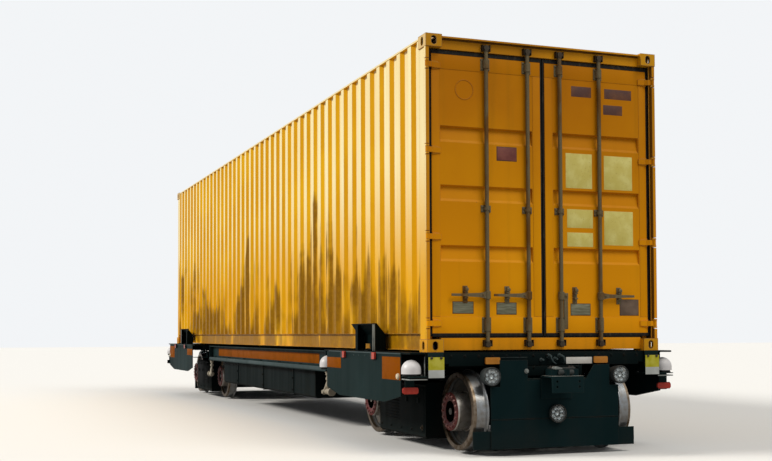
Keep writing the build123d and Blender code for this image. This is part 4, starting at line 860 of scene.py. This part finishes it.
# Corner shelves' plates and trim. A blank enamelled plate in two colours hangs on two bright screws
# in front of each hanger; the shelf has a worn steel rim, bolts and a bent rod of its own.
tag = Finish("hanging_plate", 0.4, Specular_IOR_Level=0.15)
cloud = tag.noise(10, detail=6, seed=38)
grey = tag.mixed(cloud.rise(0.4, 0.7), (0.44, 0.46, 0.44), (0.56, 0.58, 0.56))
lime = tag.mixed(cloud.rise(0.4, 0.65), (0.40, 0.36, 0.010), (0.50, 0.46, 0.06))
tone = tag.mixed(tag.axis("Z").rise(0.783, 0.786), grey, lime)
two_colours = tag.feed(Base_Color=tone, Roughness=0.3 + 0.3 * cloud, Normal=tag.bump(cloud, 0.001))
tags = Shape()
tags.block((6.1125, 1.060, 0.714), (6.1145, 1.215, 0.900), 0.0008)
on_car(tags, "hanging_plates", two_colours, "white_plastic", *CAR_CORNERS)
screws = Shape()
for y in (1.090, 1.185):
    screws.turned([(-0.013, 0.006), (0.002, 0.006), (0.002, 0.013), (0.007, 0.012), (0.010, 0.006)],
                  (6.1145, y, 0.893), "X", 12)
on_car(screws, "plate_screws", galvanised, "galvanised_steel", *CAR_CORNERS)
steel_worn = worn_paint("worn_fittings", (0.20, 0.22, 0.21), (0.34, 0.36, 0.34), (0.10, 0.08, 0.055),
                        0.4, chips=0.7, edge=0.003, seed=37)
shelf_trim = Shape()
shelf_trim.block((6.088, 1.215, 0.695), (6.094, 1.388, 0.706), 0.0015)
shelf_trim.block((5.902, 1.384, 0.695), (6.092, 1.3895, 0.706), 0.0015)
for x, y in ((5.925, 1.10), (5.925, 1.20), (6.05, 1.10)):
    shelf_trim.bolt((x, y, SHELF), "Z", 0.009)
shelf_trim.rod([(6.05, 1.225, SHELF), (6.052, 1.226, 0.80), (6.050, 1.222, 0.905)], 0.006)
on_car(shelf_trim, "shelf_trim", steel_worn, "frame_paint", *CAR_CORNERS)

# Pipe drops. Rigid elbows at the ends of the side sills, in bare cast fittings held by hexagon
# nuts and sand coloured with dust.
dusty = worn_paint("dusty_casting", (0.33, 0.29, 0.22), (0.45, 0.41, 0.33), (0.20, 0.15, 0.09), 0.6,
                   streaks=0.3, low=0.3, seed=40)
dress(dusty, "pipe_drops")
drops = Shape()
for z in (0.655, 0.60, 0.52):
    drops.drum(0.016, 0.029, (0.004, 0.005), (3.12, 1.18, z), "Z", 6)
drops.rod([(3.12, 1.18, 0.56), (3.10, 1.195, 0.50), (3.075, 1.20, 0.46), (3.045, 1.20, 0.445)],
          0.020, 12)
drops.turned([(-0.03, 0.026), (-0.026, 0.032), (0.01, 0.032), (0.016, 0.026)],
             (3.05, 1.20, 0.445), "X", 6)
on_car(drops, "pipe_elbows", dusty, "galvanised_steel", *CAR_CORNERS)

# Bogie frames. Box sections of welded steel plate between the wheels, with cast axle boxes, in the
# car's slate coat under road dirt.
BOGIES = (("front", 1), ("rear", -1))
bogie_slate = worn_paint("bogie_slate", SLATE, SLATE_FADED, SLATE_DIRT, 0.46, shine=0.03, low=0.45,
                         chips=0.15, dents=1.5, seed=42)
dress(bogie_slate, *(f"{stem}_{end}" for end, _ in BOGIES for stem in ("side_frames", "cross_members")))


def both_bogies(shape, name, material, slot, stands_for=None):
    """The shape on the front bogie, and its mirror image on the rear one."""
    for end, flip in BOGIES:
        made = shape.piece(f"{name}_{end}", material, f"bogie_{end}", slot, (flip, 1, 1))
        if stands_for:
            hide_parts(f"{stands_for}_{end}")


# Axle springs. A coil of round spring steel to each side of an axle, set between the side frame
# and the axle box.
AXLES = (5.86, 3.76, -3.76, -5.86)
SPRING_Y = 0.635
SPRING_FOOT = 0.435
SPRING_HEIGHT = 0.105
spring_steel = worn_paint("spring_steel", (0.018, 0.022, 0.023), (0.035, 0.038, 0.038), SLATE_DIRT,
                          0.4, shine=0.2, streaks=0.2, low=0.1, chips=0.3, edge=0.003, seed=43)
springs = Shape()
five_turns = [(math.tau * k / 12, SPRING_FOOT + SPRING_HEIGHT * k / 60) for k in range(61)]
for x in (axle + beside for axle in AXLES[:2] for beside in (-0.075, 0.075)):
    springs.rod([(x + 0.035 * math.cos(angle), SPRING_Y + 0.034 * math.sin(angle), level)
                 for angle, level in five_turns], 0.008, 6)
springs.mirrored(ACROSS)
both_bogies(springs, "axle_springs", spring_steel, "cast_steel")

# Drive units. Ribbed motor cases and gear cases in dark cast alloy, hung in the bogie between its
# axles.
cast_dark = worn_paint("drive_casting", (0.020, 0.026, 0.027), (0.038, 0.044, 0.044), SLATE_DIRT,
                       0.55, shine=0.2, streaks=0.25, low=0.35, chips=0.2, edge=0.005, dents=1.0,
                       seed=45)
dress(cast_dark, "drive_units_front", "drive_units_rear")

# Side boxes. Black sheet steel cases between the wheels with a bolted lid, louvres, two lifting
# blocks, a bright drain plug at the lower front corner and galvanised slats above.
BOX_FACE = 0.950
BOX_LID = BOX_FACE + 0.003
box_trim = Shape()
box_trim.block((4.225, BOX_FACE - 0.002, 0.150), (5.395, BOX_LID, 0.600), 0.001)
for x in (4.26, 4.53, 4.81, 5.09, 5.36):
    for z in (0.172, 0.578):
        box_trim.bolt((x, BOX_LID, z), "Y", 0.009)
for k in range(9):
    z = 0.25 + k * 0.03
    box_trim.block((4.40, BOX_FACE, z), (4.75, BOX_FACE + 0.011, z + 0.007), 0.002)
for x in (4.95, 5.25):
    box_trim.block((x - 0.025, BOX_FACE, 0.44), (x + 0.025, BOX_FACE + 0.012, 0.49), 0.004)
box_trim.mirrored(ACROSS)
both_bogies(box_trim, "side_box_lids", black, "black_paint")
plug = Shape()
plug.turned([(0, 0.018), (0.006, 0.018), (0.008, 0.011), (0.022, 0.011), (0.025, 0.008)],
            (5.352, BOX_FACE, 0.205), "Y", 12)
plug.block((5.343, BOX_FACE, 0.180), (5.361, BOX_FACE + 0.008, 0.232), 0.002)
plug.mirrored(ACROSS)
both_bogies(plug, "drain_plugs", galvanised, "galvanised_steel")
slats = Shape()
for z in (0.553, 0.583):
    slats.block((5.02, 0.79, z), (5.40, 0.86, z + 0.007), 0.002)
for x in (5.04, 5.38):
    slats.block((x - 0.006, 0.79, 0.545), (x + 0.006, 0.855, 0.598), 0.002)
slats.mirrored(ACROSS)
both_bogies(slats, "marker_slats", galvanised, "galvanised_steel")

# Pilot plates. Flat steel with folded wings below and a weld seam across, in the slate coat, here in a
# darker copy as painted shade, with stone chips low down.
PILOT = 6.250
shaded_pilot_slate = worn_paint("shaded_pilot_slate", (0.0038, 0.0135, 0.0150), (0.0065, 0.019, 0.021),
                         (0.014, 0.018, 0.017), 0.40, shine=0.03, streaks=0.2, low=0.12, chips=0.15,
                         dents=2.0, seed=47)
dress(shaded_pilot_slate, "pilot_front", "pilot_rear", "coupler_front", "coupler_rear")
pilot_bolt = Shape()
pilot_bolt.bolt((PILOT, -0.303, 0.769), "X", 0.015)
both_bogies(pilot_bolt, "pilot_bolts", steel_worn, "frame_paint")
seam = Shape()
random.seed(47)
seam.rod([(PILOT + 0.001, 0.02 * k - 0.66, 0.3375 + random.uniform(-0.0004, 0.0004))
          for k in range(67)], 0.003, 6)
both_bogies(seam, "pilot_seam", shaded_pilot_slate, "frame_paint")

# Headlamps. A round cast housing set in the pilot plate, with a cluster of mirrored cups in its
# dark bowl under a clear domed glass.
HEADLAMPS = ((-0.669, 0.725), (0.669, 0.725), (0, 0.378))
LAMP_FACE = 6.293
CUPS = 8
chrome = mottled("lamp_chrome", {"scale": 25, "detail": 5, "seed": 49}, (0.5, 0.8),
                 ((0.50, 0.56, 0.57), (0.26, 0.23, 0.18)), (0.08, 0.3), 0.0003, share=0.6,
                 Metallic=1.0)
glass = Finish("lamp_glass", 0.02)
film = glass.noise(18, detail=5, seed=50)
tone = glass.mixed(film.rise(0.55, 0.8), (0.62, 0.66, 0.67), (0.50, 0.46, 0.38))
lamp_glass = glass.feed(Base_Color=tone, Alpha=0.05 + 0.3 * film.rise(0.5, 0.85),
                        Roughness=0.01 + 0.06 * film, Normal=glass.bump(film, 0.0001))
shell, mirror, bowl, cover = Shape(), Shape(), Shape(), Shape()
for y, z in HEADLAMPS:
    centre = (LAMP_FACE, y, z)
    back = -0.108 if y else -0.043
    shell.turned([(back, 0.070), (back, 0.076), (-0.030, 0.0845), (-0.004, 0.0850), (0.002, 0.0835),
                  (0.003, 0.0790), (-0.001, 0.0765), (-0.014, 0.0760), (-0.030, 0.066),
                  (back, 0.050)], centre, "X", 48)
    bowl.turned([(-0.0385, 0.004), (-0.037, 0.030), (-0.033, 0.050), (-0.026, 0.066),
                 (-0.014, 0.0763), (-0.016, 0.0775), (-0.041, 0.050), (-0.0425, 0)], centre, "X", 40)
    for k in range(CUPS + 1):
        out, size = (0.0455, 0.0165) if k < CUPS else (0, 0.0215)
        angle = math.tau * (k + 0.5) / CUPS
        seat = 0.16 * out - 0.030
        cup = [(-0.006, size), (0.004, size), (0.0025, size - 0.0015), (-0.003, size * 0.6), (-0.005, 0)]
        mirror.turned([(seat + along, radius) for along, radius in cup],
                      (LAMP_FACE, y + out * math.sin(angle), z + out * math.cos(angle)), "X", 12)
    cover.turned([(-0.010, 0.0755), (-0.003, 0.0755), (0.003, 0.060), (0.0065, 0.035), (0.0078, 0),
                  (0.0048, 0), (0.0035, 0.035), (0, 0.058), (-0.006, 0.0715), (-0.010, 0.0725)],
                 centre, "X", 40)
both_bogies(shell, "headlamp_shells", cast_dark, "lamp_chrome", "headlamps")
both_bogies(mirror, "headlamp_mirrors", chrome, "lamp_chrome")
both_bogies(bowl, "headlamp_bowls", cast_dark, "lamp_chrome")
both_bogies(cover, "headlamp_glasses", lamp_glass, "lamp_chrome")

# Coupler. A welded carrier box with a bright front lip, worn and with a painted highlight on its
# edge, a dark cast head lying on it, and a hinged tongue that is polished by use.
# Painted highlight: the thin bright strip along the carrier's top edge stands for wear and for light on
# that edge.
worn_lit_lip = Shape()
worn_lit_lip.block((6.262, -0.155, 0.7235), (6.474, 0.155, 0.7275), 0.001)
both_bogies(worn_lit_lip, "carrier_worn_lit_lips", steel_worn, "frame_paint")
head = Shape()
head.block((6.30, -0.118, 0.785), (6.40, 0.118, 0.802), 0.004)
for y in (-0.10, 0.10):
    for x in (6.325, 6.375):
        head.bolt((x, y, 0.802), "Z", 0.011)
head.drum(0.075, 0.024, (0.005, 0.004), (6.430, 0, 0.760), "Y", 20)
both_bogies(head, "coupler_heads", cast_dark, "cast_steel")
tongue = Shape()
tongue.prism([(-0.130, 0.798), (-0.122, 0.811), (-0.085, 0.814), (-0.034, 0.800), (-0.022, 0.791),
              (-0.040, 0.782), (-0.085, 0.778), (-0.112, 0.782)], "X", 6.402, 6.414)
tongue.turned([(0, 0.013), (0.010, 0.013), (0.014, 0.008)], (6.414, -0.100, 0.797), "X", 16)
both_bogies(tongue, "coupler_tongues", steel_worn, "cast_steel")
pocket = Shape()
pocket.block((6.150, -0.320, 0.722), (6.160, 0.330, 0.812), 0.003)
for y in (-0.28, -0.18, 0.18, 0.28):
    pocket.bolt((6.160, y, 0.80), "X", 0.009)
both_bogies(pocket, "coupler_pockets", black, "frame_paint")

# Wheelsets. Forged steel wheels, bright on tread, flange and hub drum, dark on the dished web and
# in the bore with scale and painted shade; a red painted ring of bolts closes each drum.
AXLE_LEVEL = 0.393
BOGIE_CENTRE = 4.81
HALF_WHEELBASE = 1.05
DRUM_FACE = 0.8895
steel = Finish("wheel_steel", 0.3, Metallic=0.9)
along = abs(abs(steel.axis("X")) - BOGIE_CENTRE) - HALF_WHEELBASE
rise = steel.axis("Z") - AXLE_LEVEL
radius = (along * along + rise * rise) ** 0.5
turning = steel.noise(4, (0.3, 60, 0.3), detail=2, seed=52)
scale = steel.noise(16, detail=7, seed=53)
web = radius.rise(0.306, 0.302) * radius.rise(0.184, 0.189)
bore = radius.rise(0.104, 0.099)
rim = radius.rise(0.302, 0.308) * (abs(steel.axis("Y")) > 0.79)
drum = radius.rise(0.189, 0.184)
tone = steel.mixed(scale.rise(0.35, 0.75), (0.33, 0.345, 0.355), (0.24, 0.225, 0.205))
drum_tone = steel.mixed(scale.rise(0.35, 0.75), (0.62, 0.585, 0.54), (0.40, 0.36, 0.31))
rim_tone = steel.mixed(scale.rise(0.4, 0.6), (0.17, 0.12, 0.075), (0.26, 0.21, 0.16))
# Painted shade: the web and the bore are dark, as scale and as the shade in the dish.
web_scale_and_shade = steel.mixed(scale.rise(0.35, 0.7), (0.022, 0.025, 0.024), (0.060, 0.050, 0.038))
for mask, over in ((drum, drum_tone), (rim, rim_tone), (web.most(bore), web_scale_and_shade)):
    tone = steel.mixed(mask, tone, over)
tone = steel.mixed(scale.rise(0.66, 0.82) * 0.6, tone, (0.15, 0.08, 0.04))
wheel_steel = steel.feed(Base_Color=tone, Metallic=0.92 - 0.6 * web,
                         Roughness=0.20 + 0.38 * web + 0.2 * scale,
                         Normal=steel.bump(turning * 0.3 + scale * web, 0.0012))
shaft = worn_paint("axle_steel", (0.10, 0.092, 0.080), (0.17, 0.155, 0.135), (0.13, 0.09, 0.055),
                   0.45, streaks=0.3, low=-0.3, chips=0.6, edge=0.003, seed=54)
hub_red = worn_paint("hub_red", (0.10, 0.012, 0.012), (0.15, 0.035, 0.030), (0.07, 0.045, 0.03),
                     0.42, streaks=0.2, low=-0.3, chips=0.6, edge=0.003, seed=55)
bolt_steel = mottled("bolt_steel", {"scale": 60, "seed": 56}, (0.4, 0.75),
                     ((0.34, 0.17, 0.155), (0.20, 0.06, 0.05)), (0.2, 0.3), 0.0005, Metallic=0.9)


def bolt_circle(shape, count, radius, face, size):
    """Bolts in a circle round an axle, on a face across it."""
    for k in range(count):
        angle = math.tau * k / count
        shape.bolt((radius * math.sin(angle), face, radius * math.cos(angle)), "Y", size)


rings = Shape()
rings.turned([(-0.002, 0.176), (0.004, 0.176), (0.006, 0.173), (0.006, 0.106), (0.003, 0.101),
              (-0.002, 0.101)], (0, DRUM_FACE, 0), "Y", 64)
heads = Shape()
bolt_circle(heads, 16, 0.146, DRUM_FACE + 0.006, 0.0115)
hubs = Shape()
hubs.turned([(-0.042, 0.089), (-0.030, 0.086), (-0.026, 0.060), (-0.012, 0.052), (-0.008, 0.036),
             (0, 0.030), (0.002, 0)], (0, DRUM_FACE, 0), "Y", 32)
bolt_circle(hubs, 6, 0.072, DRUM_FACE - 0.028, 0.008)
parts = ((rings, "hub_rings", hub_red), (heads, "hub_bolts", bolt_steel), (hubs, "hub_caps", shaft))
for shape, _, _ in parts:
    shape.mirrored(ACROSS)
for n, x in enumerate(AXLES, start=1):
    dress(wheel_steel, f"wheels_{n}")
    dress(shaft, f"axle_{n}")
    for shape, name, material in parts:
        shape.piece(f"{name}_{n}", material, f"wheelset_{n}", "machined_steel", shift=(x, 0, AXLE_LEVEL))

# Stage. A pale floor that keeps the shadow, one broad low sun from the container's lit side, a wide
# soft fill on its door end and an even sky.
SKY_LIGHT = 0.42
SKY_SEEN = 0.93
SKY_IN_GLOSS = 0.3
floor_mesh = bpy.data.meshes.new("floor")
floor_mesh.from_pydata([(-90, -90, 0), (60, -90, 0), (60, 90, 0), (-90, 90, 0)], [], [(0, 1, 2, 3)])
floor = bpy.data.objects.new("floor", floor_mesh)
floor.location.z = -0.001
bpy.context.scene.collection.objects.link(floor)
pale = Finish("pale_floor", 0.9)
seen = pale.node("ShaderNodeLightPath", out="Is Camera Ray")
floor_mesh.materials.append(pale.feed(Base_Color=pale.mixed(seen, (0.30, 0.29, 0.28), (0.80, 0.79, 0.77))))

# name, strength, spread in degrees, colour and the way towards it
LAMPS = (("sun", 2.7, 14, (1.0, 0.965, 0.90), (-0.22, -0.82, 0.52)),
         ("fill", 1.45, 36, (1.0, 0.96, 0.88), (0.54, 0.26, 0.80)))
for name, energy, spread, colour, toward in LAMPS:
    lamp = bpy.data.objects.new(name, bpy.data.lights.new(name, "SUN"))
    lamp.data.energy = energy
    lamp.data.angle = math.radians(spread)
    lamp.data.color = colour
    lamp.rotation_euler = Vector(toward).to_track_quat("Z", "Y").to_euler()
    bpy.context.scene.collection.objects.link(lamp)


class Sky(Finish):
    """The world while it is put together: its tree takes the same nodes as a material's."""

    def __init__(self, name):
        self.material = bpy.data.worlds.new(name)
        self.material.use_nodes = True
        self.tree = self.material.node_tree
        self.shader = self.tree.nodes["Background"]


sky = Sky("sky")
camera_ray, gloss, through = (sky.node("ShaderNodeLightPath", out=f"Is {ray} Ray")
                              for ray in ("Camera", "Glossy", "Transmission"))
shown = camera_ray.most(SKY_IN_GLOSS * gloss).most(through)
bpy.context.scene.world = sky.feed(Strength=SKY_LIGHT + (SKY_SEEN - SKY_LIGHT) * shown)
sky.shader.inputs["Color"].default_value = (0.96, 0.98, 1.0, 1)
bpy.context.scene.view_settings.view_transform = "Standard"

# Camera. It stands where the photograph was taken, ahead of the door end and to one side, about
# 1.1 m over the ground, turned and tilted as solved from the container's corners.
YAW = math.radians(19.90)
PITCH = math.radians(1.90)
ROLL = math.radians(-0.18)
ahead = Vector((-math.cos(YAW), math.sin(YAW), 0))
right = Vector((math.sin(YAW), math.cos(YAW), 0))
up = Vector((0, 0, 1))
tilted = ahead * math.cos(PITCH) + up * math.sin(PITCH)
raised = up * math.cos(PITCH) - ahead * math.sin(PITCH)
turned_right = right * math.cos(ROLL) + raised * math.sin(ROLL)
turned_up = raised * math.cos(ROLL) - right * math.sin(ROLL)
camera = bpy.data.objects.new("camera", bpy.data.cameras.new("camera"))
camera.data.sensor_width = 36
camera.data.lens = 51.75
camera.data.shift_x = 0.0317
camera.data.shift_y = 0.0867
camera.matrix_world = Matrix.Translation((15.262, -5.162, 1.109)) @ Matrix(
    (turned_right, turned_up, -tilted)).transposed().to_4x4()
bpy.context.scene.collection.objects.link(camera)
bpy.context.scene.camera = camera
